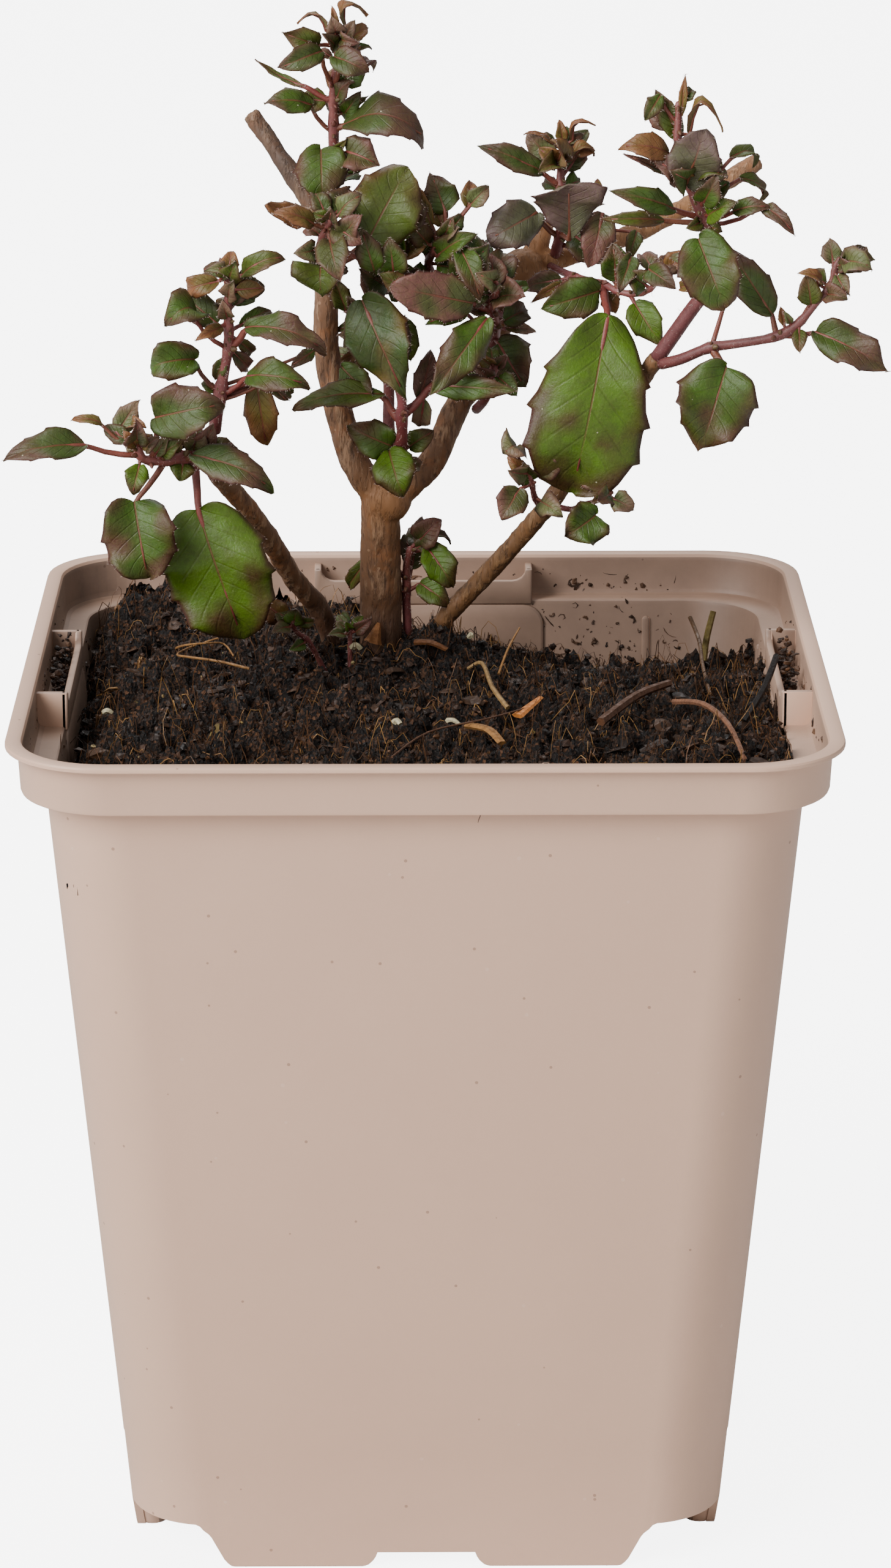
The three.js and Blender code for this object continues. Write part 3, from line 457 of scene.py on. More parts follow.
@dataclass(frozen=True)
class Litter(Finish):
    """Crumbs, chips and fibres in the soil, each with a colour of its own."""

    grime: Colour = srgb(90, 70, 54)

    def wire(self, graph: Graph, shader: Node, place: Socket) -> None:
        """Wires the piece's own tint with some grain; see Finish.wire."""
        tint = graph.layer("tint").outputs["Color"]
        grain = self.mottle(graph, place, size=0.6, low=0.3, high=0.7)
        colour = graph.mix(graph.times(grain["Mask"], 0.5), tint, self.grime, "MULTIPLY")
        roughness = graph.raised(grain["Mask"], 0.45, 0.32)
        self.put(graph, shader, colour, roughness, grain["Cloud"], 0.12)
        shader.inputs["Specular IOR Level"].default_value = 0.3


@dataclass(frozen=True)
class Bark(Finish):
    """Thin bark of a young shrub, with flakes, cork spots and orange patches.

    Attributes:
        skin: The bark's main colour.
        flake: The colour of the pale flakes.
        patch: The colour of the fresh patches.
        shade: The colour in its cracks.
        flaking: How much of the surface is flaked, from 0 to 1.
    """

    skin: Colour = srgb(114, 80, 54)
    flake: Colour = srgb(174, 138, 106)
    patch: Colour = srgb(136, 88, 52)
    shade: Colour = srgb(48, 31, 22)
    flaking: float = 0.5

    def wire(self, graph: Graph, shader: Node, place: Socket) -> None:
        """Wires strips that run along the wood, cork spots and cracks; see Finish.wire."""
        along_wood = {"Vector": place, "Scale": (1.0, 1.0, 0.22)}
        strips = graph.add("ShaderNodeMapping", along_wood).outputs["Vector"]
        flakes = self.mottle(graph, strips, size=1.1, low=0.5, high=0.62)
        patches = self.mottle(graph, place, size=3.4, low=0.48, high=0.62)
        cracks = self.mottle(graph, strips, size=0.45, low=0.5, high=0.72)
        spots = self.specks(graph, place, spacing=1.3, dot=0.16, share=0.4)
        colour = graph.lay(self.patch, patches["Mask"], 0.75, self.skin)
        colour = graph.lay(self.flake, flakes["Mask"], self.flaking, colour)
        colour = graph.lay(self.shade, cracks["Mask"], 0.6, colour)
        colour = graph.lay(self.flake, spots, 0.45, colour)
        tint = graph.layer("tint")
        colour = graph.mix(tint.outputs["Alpha"], colour, tint.outputs["Color"])
        height = graph.maths("SUBTRACT", flakes["Mask"], cracks["Mask"])
        self.put(graph, shader, colour, 0.62, height, 0.09)


@dataclass(frozen=True)
class LeafBlade(Finish):
    """Leaf tissue: glossy, mottled, with a rosy midrib, fine side veins and a dark rim.

    It reads two values at each vertex. `tint` is the tissue's colour. `blade` holds the share of the
    way from midrib to rim, the share of the way from base to tip, half the width there in
    centimetres, and 1 on the lower face.
    """

    rib: Colour = srgb(112, 56, 46)
    vein: Colour = srgb(58, 34, 26)
    rim: Colour = srgb(62, 24, 22)
    lower: Colour = srgb(120, 112, 84)
    blotch: Colour = srgb(56, 42, 26)
    fresh: Colour = srgb(108, 118, 44)
    dot: Colour = srgb(206, 200, 170)

    def wire(self, graph: Graph, shader: Node, place: Socket) -> None:
        """Wires tissue, ribs, veins and rim; see Finish.wire."""
        tint = graph.layer("tint").outputs["Color"]
        blade = graph.layer("blade")
        shares = graph.add("ShaderNodeSeparateColor", {"Color": blade.outputs["Color"]}).outputs
        across, along, half = shares["Red"], shares["Green"], shares["Blue"]
        below = blade.outputs["Alpha"]

        mottle = self.mottle(graph, place, size=1.9, low=0.36, high=0.66)
        grain = self.mottle(graph, place, size=0.3, low=0.3, high=0.7)
        dots = self.specks(graph, place, spacing=1.5, dot=0.06, share=0.25)
        colour = graph.lay(self.blotch, mottle["Mask"], 0.36, tint)
        colour = graph.lay(self.fresh, grain["Mask"], 0.12, colour)
        colour = graph.lay(self.lower, below, 0.34, colour)

        off_rib = graph.times(across, graph.times(half, 10.0))
        rib = graph.rest(graph.step(off_rib, 0.05, 0.16))
        rib = graph.times(rib, graph.rest(graph.step(along, 0.35, 0.95)))
        run = graph.raised(along, 7.0, graph.times(across, -2.1))
        gap = graph.maths("ABSOLUTE", graph.maths("SUBTRACT", graph.maths("FRACT", run), 0.5))
        veins = graph.rest(graph.step(gap, 0.0, 0.11))
        veins = graph.times(veins, graph.rest(graph.step(across, 0.5, 0.95)))
        rim = graph.step(across, 0.9, 0.99)
        colour = graph.lay(self.vein, veins, 0.16, colour)
        colour = graph.lay(self.rib, rib, 0.62, colour)
        colour = graph.lay(self.rim, rim, 0.75, colour)
        colour = graph.lay(self.dot, dots, 0.5, colour)

        sunk = graph.maths("MAXIMUM", graph.times(veins, 0.6), rib)
        height = graph.raised(mottle["Cloud"], 1.3, graph.times(sunk, -0.5))
        height = graph.raised(grain["Cloud"], 0.6, height)
        roughness = graph.raised(mottle["Cloud"], 0.3, 0.27)
        roughness = graph.raised(below, 0.25, roughness)
        self.put(graph, shader, colour, roughness, height, 0.12)
        shader.inputs["Subsurface Weight"].default_value = 0.12
        shader.inputs["Subsurface Radius"].default_value = (0.0006, 0.0008, 0.0003)
        shader.inputs["Specular IOR Level"].default_value = 0.33


@dataclass(frozen=True)
class ShootSkin(Finish):
    """Skin of soft stems and leaf stalks, with dark and pale streaks."""

    dark: Colour = srgb(66, 30, 28)
    pale: Colour = srgb(160, 108, 96)

    def wire(self, graph: Graph, shader: Node, place: Socket) -> None:
        """Wires the piece's own tint with streaks; see Finish.wire."""
        tint = graph.layer("tint").outputs["Color"]
        streaks = self.mottle(graph, place, size=0.8, low=0.4, high=0.65)
        fine = self.mottle(graph, place, size=0.16, low=0.4, high=0.7)
        colour = graph.lay(self.dark, streaks["Mask"], 0.35, tint)
        colour = graph.lay(self.pale, fine["Mask"], 0.2, colour)
        self.put(graph, shader, colour, 0.5, fine["Cloud"], 0.03)


@dataclass(frozen=True)
class Hair(Finish):
    """Short pale hairs."""

    pale: Colour = srgb(224, 206, 196)
    dim: Colour = srgb(188, 160, 150)

    def wire(self, graph: Graph, shader: Node, place: Socket) -> None:
        """Wires a pale colour that varies a little from hair to hair; see Finish.wire."""
        cloud = self.mottle(graph, place, size=1.0, low=0.3, high=0.7)
        colour = graph.mix(cloud["Mask"], self.pale, self.dim)
        self.put(graph, shader, colour, 0.5)


@dataclass(frozen=True)
class StudioPaper(Finish):
    """The plain pale paper that the pot stands on, lit from below as far as the camera sees it."""

    glow: float = 6.0
    white: Colour = srgb(216, 215, 214)
    shade: Colour = srgb(212, 211, 210)

    def wire(self, graph: Graph, shader: Node, place: Socket) -> None:
        """Wires an almost even white; see Finish.wire."""
        cloud = self.mottle(graph, place, size=160.0, low=0.3, high=0.7)
        colour = graph.mix(cloud["Mask"], self.shade, self.white)
        self.put(graph, shader, colour, 0.9)
        seen = graph.add("ShaderNodeLightPath").outputs["Is Camera Ray"]
        graph.feed(shader.inputs["Emission Strength"], graph.times(seen, self.glow))
        shader.inputs["Emission Color"].default_value = (1.0, 1.0, 1.0, 1.0)


# ---------------------------------------------------------------- meshes drawn point by point


class Sketch:
    """Points and faces of many small closed bodies that end up in one mesh.

    Leaves, stalks and hairs are drawn with it, because each follows its own line.
    """

    def __init__(self) -> None:
        """Starts with nothing drawn."""
        self.points: list[Vector] = []
        self.faces: list[tuple[int, ...]] = []
        self.kinds: list[int] = []
        self.tint: list[Colour] = []
        self.blade: list[Colour] = []

    def loft(self, rings: Sequence[Sequence[Vector]], tints: Sequence[Sequence[Colour]], kind: int = 0,
             blades: Sequence[Sequence[Colour]] | None = None) -> None:
        """Adds a closed skin over rings that all have the same number of points.

        Args:
            rings: The rings, in millimetres.
            tints: A colour for each point of each ring.
            kind: The material's place in the mesh's list.
            blades: What the leaf finish reads at each point, if it is a leaf.
        """
        start = len(self.points)
        count = len(rings[0])
        for index, ring in enumerate(rings):
            self.points.extend(ring)
            self.tint.extend(tints[index])
            self.blade.extend(blades[index] if blades else [(0.5, 0.5, 0.0, 0.0)] * count)
        for index in range(len(rings) - 1):
            low = start + index * count
            for i in range(count):
                j = (i + 1) % count
                self.faces.append((low + i, low + j, low + count + j, low + count + i))
        last = start + (len(rings) - 1) * count
        self.faces.append(tuple(range(start + count - 1, start - 1, -1)))
        self.faces.append(tuple(range(last, last + count)))
        self.kinds.extend([kind] * (len(self.faces) - len(self.kinds)))

    def tube(self, centres: Sequence[Vector], radii: Sequence[float], sides: int, tint: Colour,
             kind: int = 0) -> None:
        """Adds a closed tube of one colour round a line of centres."""
        self.plain(tube_rings(centres, radii, sides), tint, kind)

    def plain(self, rings: Sequence[Sequence[Vector]], tint: Colour, kind: int = 0) -> None:
        """Adds a closed skin of one colour over rings."""
        self.loft(rings, [[tint] * len(rings[0])] * len(rings), kind)

    def mesh(self, name: str, materials: Sequence[Material],
             smooth: bool = True) -> Piece:
        """Makes the object.

        Args:
            name: The object's name.
            materials: Its materials, in the order of the kinds.
            smooth: Whether it is shaded smoothly.

        Returns:
            The object, with its faces outwards.
        """
        mesh = bpy.data.meshes.new(name)
        mesh.from_pydata([world_point(point) for point in self.points], [], self.faces)
        for label, values in (("tint", self.tint), ("blade", self.blade)):
            layer = mesh.color_attributes.new(label, "FLOAT_COLOR", "POINT")
            layer.data.foreach_set("color", [number for value in values for number in value])
        for material in materials:
            mesh.materials.append(material)
        mesh.polygons.foreach_set("material_index", self.kinds)
        piece = bpy.data.objects.new(name, mesh)
        bpy.context.collection.objects.link(piece)
        begin_edit(piece)
        end_edit()
        if smooth:
            activate(piece)
            bpy.ops.object.shade_smooth()
        return piece


@dataclass(frozen=True)
class Run:
    """A smooth line through given points, with a thickness.

    Attributes:
        points: The points, in millimetres.
        radii: The radius at its start and at its end.
    """

    points: tuple[Triple, ...]
    radii: tuple[float, float]

    def straight(self, station: float) -> Vector:
        """Returns the point at a station, on straight stretches between the points."""
        start = min(int(station), len(self.points) - 2)
        return Vector(self.points[start]).lerp(Vector(self.points[start + 1]), station - start)

    def smooth(self, station: float) -> Vector:
        """Returns the point at a station, on one smooth curve through all the points."""
        last = len(self.points) - 1
        start = min(int(station), last - 1)
        t = station - start
        before, a, b, after = (
            Vector(self.points[min(max(start + step, 0), last)]) for step in (-1, 0, 1, 2)
        )
        return 0.5 * (
            2 * a + (b - before) * t + (2 * before - 5 * a + 4 * b - after) * t**2
            + (3 * a - before - 3 * b + after) * t**3
        )

    def radius(self, station: float) -> float:
        """Returns the radius at a station."""
        thick, thin = self.radii
        return thick + (thin - thick) * station / (len(self.points) - 1)

    def stations(self) -> list[float]:
        """Returns evenly spread stations, four to each stretch."""
        count = (len(self.points) - 1) * STATIONS_PER_STRETCH
        return [index / STATIONS_PER_STRETCH for index in range(count + 1)]

    def line(self) -> tuple[list[Vector], list[float]]:
        """Returns the curve's points at its stations, and its radius at each."""
        stations = self.stations()
        return [self.smooth(at) for at in stations], [self.radius(at) for at in stations]


def tube_rings(centres: Sequence[Vector], radii: Sequence[float], sides: int) -> list[list[Vector]]:
    """Puts rings round a line.

    Args:
        centres: The line's points.
        radii: The radius at each of them.
        sides: How many points a ring has.

    Returns:
        The rings, turned as little as possible from one to the next.
    """
    rings = []
    across = Vector((1, 0, 0))
    for index, centre in enumerate(centres):
        ahead = centres[min(index + 1, len(centres) - 1)] - centres[max(index - 1, 0)]
        ahead.normalize()
        if abs(across.dot(ahead)) > 0.95:
            across = Vector((0, 1, 0))
        across = (across - ahead * across.dot(ahead)).normalized()
        other = ahead.cross(across)
        turns = [2 * math.pi * side / sides for side in range(sides)]
        rings.append([
            centre + (across * math.cos(turn) + other * math.sin(turn)) * radii[index]
            for turn in turns
        ])
    return rings


# ---------------------------------------------------------------- leaves


class Flush(Enum):
    """How a leaf is coloured.

    Each holds its tissue near the base, what flushes it towards tip and rim, and where that starts.
    """

    BRIGHT = (srgb(74, 104, 18), srgb(68, 44, 24), 0.3)
    GREEN = (srgb(57, 84, 20), srgb(80, 50, 38), 0.14)
    OLIVE = (srgb(70, 85, 24), srgb(90, 60, 38), 0.22)
    BRONZE = (srgb(56, 74, 27), srgb(84, 52, 44), 0.1)
    BURGUNDY = (srgb(66, 70, 35), srgb(108, 66, 61), -0.04)
    DUSKY = (srgb(84, 84, 64), srgb(98, 74, 73), 0.1)
    YOUNG = (srgb(100, 84, 38), srgb(128, 80, 50), 0.0)
    PALE = (srgb(94, 102, 60), srgb(114, 84, 70), 0.12)
    TURNING = (srgb(48, 68, 24), srgb(98, 76, 38), 0.34)

    def tint(self, share: float, way: float, point: Vector, phase: float) -> Colour:
        """Returns the tissue's colour at one point.

        Args:
            share: The share of the way from the blade's base to its tip.
            way: The share of the way from midrib to rim, with its side's sign.
            point: The point.
            phase: A number of the leaf's own.

        Returns:
            The colour.
        """
        base, flushed, start = self.value
        cloud = noise.noise(point * 0.33 + Vector((phase * 3, 0, 0)))
        reach = 0.75 * share + 0.45 * abs(way) ** 3 + 0.75 * cloud
        return blend(base, flushed, ramp(reach, start + 0.1, start + 0.75))


@dataclass(frozen=True)
class Outline:
    """A blade's outline.

    Attributes:
        widest: Where the blade is widest, from 0 at its base to 1 at its tip.
        base: How its base closes: 0.5 is round, 1 is pointed.
        tip: How its tip closes.
    """

    widest: float
    base: float
    tip: float

    def breadth(self, share: float) -> float:
        """Returns the breadth at a share of the length, against the widest place."""
        if share < self.widest:
            return math.sin(math.pi / 2 * share / self.widest) ** self.base
        return math.cos(math.pi / 2 * (share - self.widest) / (1 - self.widest)) ** self.tip


OVATE = Outline(0.4, 0.62, 0.95)
ROUNDED = Outline(0.46, 0.45, 0.56)
DROOPING = Outline(0.64, 0.62, 0.42)
FLARED = Outline(0.93, 1.2, 0.24)
POINTED = Outline(0.34, 0.5, 1.45)


@dataclass(frozen=True)
class Leaf:
    """A leaf, as placed on its stem.

    Attributes:
        station: Where it grows from the stem.
        reach: From there to its tip.
        width: Its full width.
        arch: How far its middle line bows towards the side that it faces.
        tilt: 0 faces up, 90 faces the pot's front.
        flush: How it is coloured.
        stalk: From the stem to the blade's base, where the stalk is long.
        outline: Its outline.
    """

    station: float
    reach: Triple
    width: float
    arch: float
    tilt: float
    flush: Flush
    stalk: Triple | None = None
    outline: Outline = OVATE


@dataclass(frozen=True)
class BladeForm:
    """The finer shape of blades of one size.

    Attributes:
        up_to: The longest blade of this size, in millimetres.
        teeth: The teeth on each side.
        columns: How many faces lie across each face of the blade.
        fold: How far the halves fold up from the midrib, in degrees.
        stalk: The stalk's radius.
        thickness: Half the blade's thickness at the midrib.
        twist: How far it may turn about its own length, in radians.
    """

    up_to: float
    teeth: int
    columns: int
    fold: float
    stalk: float
    thickness: float
    twist: float


BLADE_FORMS = (
    BladeForm(4.0, 2, 6, 28, 0.2, 0.1, 0.9),
    BladeForm(6.0, 3, 8, 22, 0.25, 0.12, 0.65),
    BladeForm(9.5, 4, 10, 18, 0.31, 0.14, 0.35),
    BladeForm(99.0, 5, 14, 11, 0.42, 0.17, 0.08),
)
STALK_SHARE = 0.24
STALK_SIDES = 6
STALK_TINTS = (srgb(122, 50, 46), srgb(112, 62, 38))
BUD_TINTS = (srgb(86, 74, 36), srgb(100, 46, 38))
BUDLESS_UP_TO = 5.0
HAIR_RADII = (0.022, 0.006)
HAIR_TINT = (0.6, 0.5, 0.45, 1.0)
HAIR_DEPTH = 0.05
THINNEST_HALF = 0.04
TOOTH_DEPTH = 0.12
VEIN_RELIEF = 0.022
PUCKER = 0.09
HOOK_FROM = 0.6
TWIST_MIDDLE = 0.35
RIM_THINNING = 0.72
GROOVE_REACH = 0.25
BASE_STATIONS = (0.0005, 0.004, 0.012, 0.026, 0.048)
TOOTH_STATIONS = ((0.0, 0.0), (0.4, 0.12), (0.7, 0.8), (0.78, 1.0), (0.86, 0.1))
TIP_STATIONS = (0.955, 0.98, 0.993, 0.9995)


@dataclass(frozen=True)
class Bend:
    """How one blade is bent.

    Attributes:
        fold: How far its halves fold up from the midrib, in radians.
        wave: How high its rim waves, against its width.
        waves: How many waves run along it.
        phase: Where its first wave starts, in radians.
        roll: How far its rims roll down.
        hook: How far its tip hooks down, in millimetres.
        twist: How far it turns about its own length, in radians.
    """

    fold: float
    wave: float
    waves: float
    phase: float
    roll: float
    hook: float
    twist: float

    @classmethod
    def drawn(cls, leaf: Leaf, form: BladeForm, rng: random.Random) -> "Bend":
        """Draws a bend at random for a leaf with a blade of some form."""
        return cls(
            fold=math.radians(form.fold * rng.uniform(0.6, 1.3)),
            wave=rng.uniform(0.05, 0.15),
            waves=rng.uniform(1.2, 2.4),
            phase=rng.uniform(0, math.tau),
            roll=rng.uniform(0.0, 0.3),
            hook=rng.uniform(0.0, 0.15) * (leaf.reach[0] ** 2 + leaf.reach[2] ** 2) ** 0.5,
            twist=rng.uniform(-form.twist, form.twist),
        )

    def lift(self, leaf: Leaf, form: BladeForm, half: float, u: float, v: float) -> float:
        """Returns how far the blade rises off its plane at a place.

        Args:
            leaf: The leaf.
            form: The finer shape of blades of its size.
            half: Half the blade's width there.
            u: The share of the way from base to tip.
            v: The share of the way from midrib to rim, with its side's sign.

        Returns:
            The rise, in millimetres.
        """
        a = abs(v)
        rise = half * (math.sin(self.fold) * a**1.3 - self.roll * a**4)
        rise += self.wave * leaf.width * math.sin(math.tau * self.waves * u + self.phase + v) * a * a
        vein = math.cos(math.tau * (u * form.teeth * 1.1 - 0.3 * a)) * ramp(a, 0.05, 0.4)
        return rise + VEIN_RELIEF * min(half, 3.0) * vein * (1 - a**3)


class LeafMaker:
    """Draws one leaf after another on a stem."""

    BLADE, SKIN, HAIR = range(3)

    def __init__(self, sketch: Sketch, run: Run, seed: str) -> None:
        """Keeps what the leaves are drawn into, their stem, and a seed."""
        self.sketch = sketch
        self.run = run
        self.seed = seed

    def draw(self, index: int, leaf: Leaf) -> None:
        """Draws a leaf: its blade, its stalk and rib, and the hairs on its rim."""
        rng = random.Random(f"{self.seed} {index}")
        root = self.run.straight(leaf.station)
        tip = root + Vector(leaf.reach)
        start = root + (Vector(leaf.stalk) if leaf.stalk else Vector(leaf.reach) * STALK_SHARE)
        length = (tip - start).length
        form = next(form for form in BLADE_FORMS if length < form.up_to)

        along = (tip - start).normalized()
        turn = math.radians(leaf.tilt)
        facing = Vector((0, -math.sin(turn), math.cos(turn)))
        facing = (facing - along * facing.dot(along)).normalized()
        across = along.cross(facing)
        middle = (start + tip) / 2 + facing * 2 * leaf.arch

        def line(share: float) -> tuple[Vector, Vector]:
            """Returns the middle line's point and the blade's normal at a share of its length."""
            point = start * (1 - share) ** 2 + middle * 2 * share * (1 - share) + tip * share**2
            tangent = (middle - start) * (1 - share) + (tip - middle) * share
            return point, across.cross(tangent).normalized()

        rims = self._blade(leaf, form, line, across, along, rng)
        self._stalk(leaf, form, line, start, rng)
        self._hairs(rims, rng, form)

    def _blade(self, leaf: Leaf, form: BladeForm, line: Callable[[float], tuple[Vector, Vector]],
               across: Vector, along: Vector, rng: random.Random) -> list[tuple[Vector, Vector]]:
        """Draws the blade.

        Args:
            leaf: The leaf.
            form: The finer shape of blades of its size.
            line: Gives the middle line's point and normal.
            across: From the left rim to the right one.
            along: From the blade's base to its tip.
            rng: The leaf's own random draw.

        Returns:
            The points of both rims in turn.
        """
        bend = Bend.drawn(leaf, form, rng)
        columns = [2 * i / form.columns - 1 for i in range(form.columns + 1)]
        around = [*columns, *reversed(columns)]
        faces = [0.0] * len(columns) + [1.0] * len(columns)
        rings, tints, blades, rims = [], [], [], []
        for u, bite in self._stations(form):
            centre, upright = line(u)
            turn = bend.twist * (u - TWIST_MIDDLE)
            aside = across * math.cos(turn) + upright * math.sin(turn)
            normal = upright * math.cos(turn) - across * math.sin(turn)
            centre = centre - normal * bend.hook * max(0.0, (u - HOOK_FROM) / (1 - HOOK_FROM)) ** 2
            flat_half = leaf.width / 2 / math.cos(bend.fold)
            half = max(flat_half * leaf.outline.breadth(u), THINNEST_HALF)
            upper, lower = [], []
            for v in columns:
                a = abs(v)
                spread = half * (1 + TOOTH_DEPTH * bite * ramp(u, 0.12, 0.35) * a**8)
                back = along * (-0.5 * half * a**1.5 * (1 - u) ** 4)
                point = centre + aside * (v * spread * math.cos(bend.fold)) + back
                own = Vector((bend.phase, 0, 0))
                pucker = PUCKER * leaf.width * noise.noise(point * 1.6 / leaf.width + own)
                point = point + normal * (bend.lift(leaf, form, half, u, v) + pucker)
                thick = form.thickness * (1 - RIM_THINNING * a**6)
                groove = 0.5 * form.thickness * bell(v * half / GROOVE_REACH)
                upper.append(point + normal * (thick - groove))
                lower.append(point - normal * (thick + 0.6 * groove))
            ring = [*upper, *reversed(lower)]
            rings.append(ring)
            tints.append([leaf.flush.tint(u, v, point, bend.phase) for v, point in zip(around, ring)])
            blades.append([(abs(v), u, half / 10, face) for v, face in zip(around, faces)])
            rims.extend([(upper[0], -aside), (upper[-1], aside)])
        self.sketch.loft(rings, tints, self.BLADE, blades)
        return rims

    @staticmethod
    def _stations(form: BladeForm) -> list[tuple[float, float]]:
        """Returns the shares of the length that have a ring, each with how far a tooth stands out."""
        middle = [
            ((tooth + share) / form.teeth, bite)
            for tooth in range(form.teeth) for share, bite in TOOTH_STATIONS
        ]
        first, last = BASE_STATIONS[-1], TIP_STATIONS[0]
        middle = [station for station in middle if first < station[0] < last]
        base, tip = ([(share, 0.0) for share in ends] for ends in (BASE_STATIONS, TIP_STATIONS))
        return [*base, *middle, *tip]

    def _stalk(self, leaf: Leaf, form: BladeForm, line: Callable[[float], tuple[Vector, Vector]],
               start: Vector, rng: random.Random) -> None:
        """Draws the stalk, and the rib that it turns into under the blade.

        Args:
            leaf: The leaf.
            form: The finer shape of blades of its size.
            line: Gives the middle line's point and normal.
            start: The blade's base.
            rng: The leaf's own random draw.
        """
        root = self.run.smooth(leaf.station)
        _, normal = line(0.0)
        bow = normal * -0.1 * (start - root).length
        centres, radii = [], []
        for share in (0.0, 0.3, 0.6, 0.85):
            centres.append(root.lerp(start, share) + bow * math.sin(math.pi * share))
            radii.append(form.stalk * (1.25 - 0.35 * share))
        for share in (0.02, 0.15, 0.35, 0.6, 0.85):
            point, normal = line(share)
            centres.append(point - normal * form.thickness)
            radii.append(form.stalk * 0.8 * (1 - share) + 0.05)
        rosy = blend(*STALK_TINTS, rng.random())
        self.sketch.tube(centres, radii, STALK_SIDES, rosy, self.SKIN)
        if form.up_to > BUDLESS_UP_TO:
            self._bud(root, normal, form, rng)

    def _bud(self, root: Vector, normal: Vector, form: BladeForm, rng: random.Random) -> None:
        """Draws the small bud between stalk and stem."""
        turn = rng.uniform(0, math.tau)
        out = (normal + Vector((math.cos(turn), -0.6, math.sin(turn)))).normalized()
        size = self.run.radii[1] + form.stalk * 0.8
        centres = [root + out * size * share for share in (0.5, 0.9, 1.2, 1.5, 1.7)]
        radii = [form.stalk * share for share in (0.6, 0.95, 0.8, 0.45, 0.1)]
        self.sketch.tube(centres, radii, STALK_SIDES, blend(*BUD_TINTS, rng.random()), self.SKIN)

    def _hairs(self, rims: list[tuple[Vector, Vector]], rng: random.Random, form: BladeForm) -> None:
        """Draws fine hairs along the rims."""
        for point, way in rims[:: 2 if form.columns < 8 else 1]:
            stray = Vector([rng.uniform(-0.6, 0.6) for _ in range(3)])
            aim = (way + stray).normalized()
            draw_hair(self.sketch, point - way * HAIR_DEPTH, aim, rng.uniform(0.16, 0.34))


def draw_hair(sketch: Sketch, root: Vector, way: Vector, length: float) -> None:
    """Draws one hair, a slim three-sided spike that stands on a root and points some way."""
    sketch.tube([root, root + way * length], HAIR_RADII, 3, HAIR_TINT, LeafMaker.HAIR)


@dataclass(frozen=True)
class Shoot:
    """A soft stem with its leaves.

    Attributes:
        name: Its name.
        slot: The record's material slot for it.
        run: Its stem.
        leaves: Its leaves.
        tuft: How many small leaves crowd near its tip besides these.
        skin: Its stem's colour, at the base and at the tip.
    """

    name: str
    run: Run
    leaves: tuple[Leaf, ...]
    slot: str = "leaf_green"
    tuft: int = 3
    skin: tuple[Colour, Colour] = (srgb(112, 56, 58), srgb(134, 74, 66))

    SIDES = 10
    HAIRS_PER_RING = 11
    JOINT_REACH = 0.16
    TUFT_FLUSHES = (
        Flush.YOUNG, Flush.BURGUNDY, Flush.BRONZE, Flush.OLIVE, Flush.GREEN, Flush.PALE,
    )

    def build(self, materials: Sequence[Material]) -> Piece:
        """Draws the shoot and lets it stand for its node.

        Args:
            materials: The finishes of blade, skin and hair.

        Returns:
            The shoot's object.
        """
        sketch = Sketch()
        rng = random.Random(self.name)
        self._stem(sketch, rng)
        maker = LeafMaker(sketch, self.run, self.name)
        for index, leaf in enumerate([*self.leaves, *self._tuft(rng)]):
            maker.draw(index, leaf)
        piece = sketch.mesh(f"{self.name}_growth", materials)
        settle(piece, self.slot, self.name)
        return piece

    def _tuft(self, rng: random.Random) -> list[Leaf]:
        """Returns small curled leaves that crowd near the tip."""
        last = len(self.run.points) - 1
        small = []
        for _ in range(self.tuft):
            station = last * (1 - 0.38 * rng.random() ** 1.6)
            turn = rng.uniform(0, math.tau)
            out = Vector((math.cos(turn), 0.8 * math.sin(turn), rng.uniform(-0.1, 1.1))).normalized()
            length = rng.uniform(2.4, 5.2)
            width = length * rng.uniform(0.42, 0.68)
            flush = rng.choice(self.TUFT_FLUSHES)
            arch, tilt = rng.uniform(0.1, 0.9), rng.uniform(45, 100)
            small.append(Leaf(station, tuple(out * length), width, arch, tilt, flush))
        return small

    def _stem(self, sketch: Sketch, rng: random.Random) -> None:
        """Draws the stem, a little thicker where leaves leave it, and its hairs."""
        stations = self.run.stations()
        joints = [leaf.station for leaf in self.leaves]
        centres = [self.run.smooth(station) for station in stations]
        radii = []
        for station in stations:
            near = [bell((station - joint) / self.JOINT_REACH) for joint in joints]
            radii.append(self.run.radius(station) * (0.66 + 0.2 * max(near, default=0.0)))
        ahead = (centres[-1] - centres[-2]).normalized()
        centres.append(centres[-1] + ahead * radii[-1] * 0.5)
        radii.append(radii[-1] * 0.5)
        rings = tube_rings(centres, radii, self.SIDES)
        tints = [
            [blend(*self.skin, index / len(rings) + rng.uniform(-0.2, 0.2))] * self.SIDES
            for index in range(len(rings))
        ]
        sketch.loft(rings, tints, LeafMaker.SKIN)
        for ring, centre in zip(rings[1:-1], centres[1:-1]):
            for _ in range(self.HAIRS_PER_RING):
                point, _other = rng.choice(ring), rng.choice(ring)
                way = (point - centre).normalized()
                stray = Vector([rng.uniform(-0.5, 0.5) for _ in range(3)])
                root = point - way * HAIR_DEPTH + ahead * rng.uniform(-0.4, 0.4)
                draw_hair(sketch, root, (way + stray).normalized(), rng.uniform(0.2, 0.5))


def leaves(*rows: tuple) -> tuple[Leaf, ...]:
    """Turns rows into leaves. A row holds what Leaf holds, in the same order."""
    return tuple(Leaf(*row) for row in rows)


BRIGHT, GREEN, OLIVE, BRONZE, BURGUNDY, DUSKY, YOUNG, PALE, TURNING = Flush

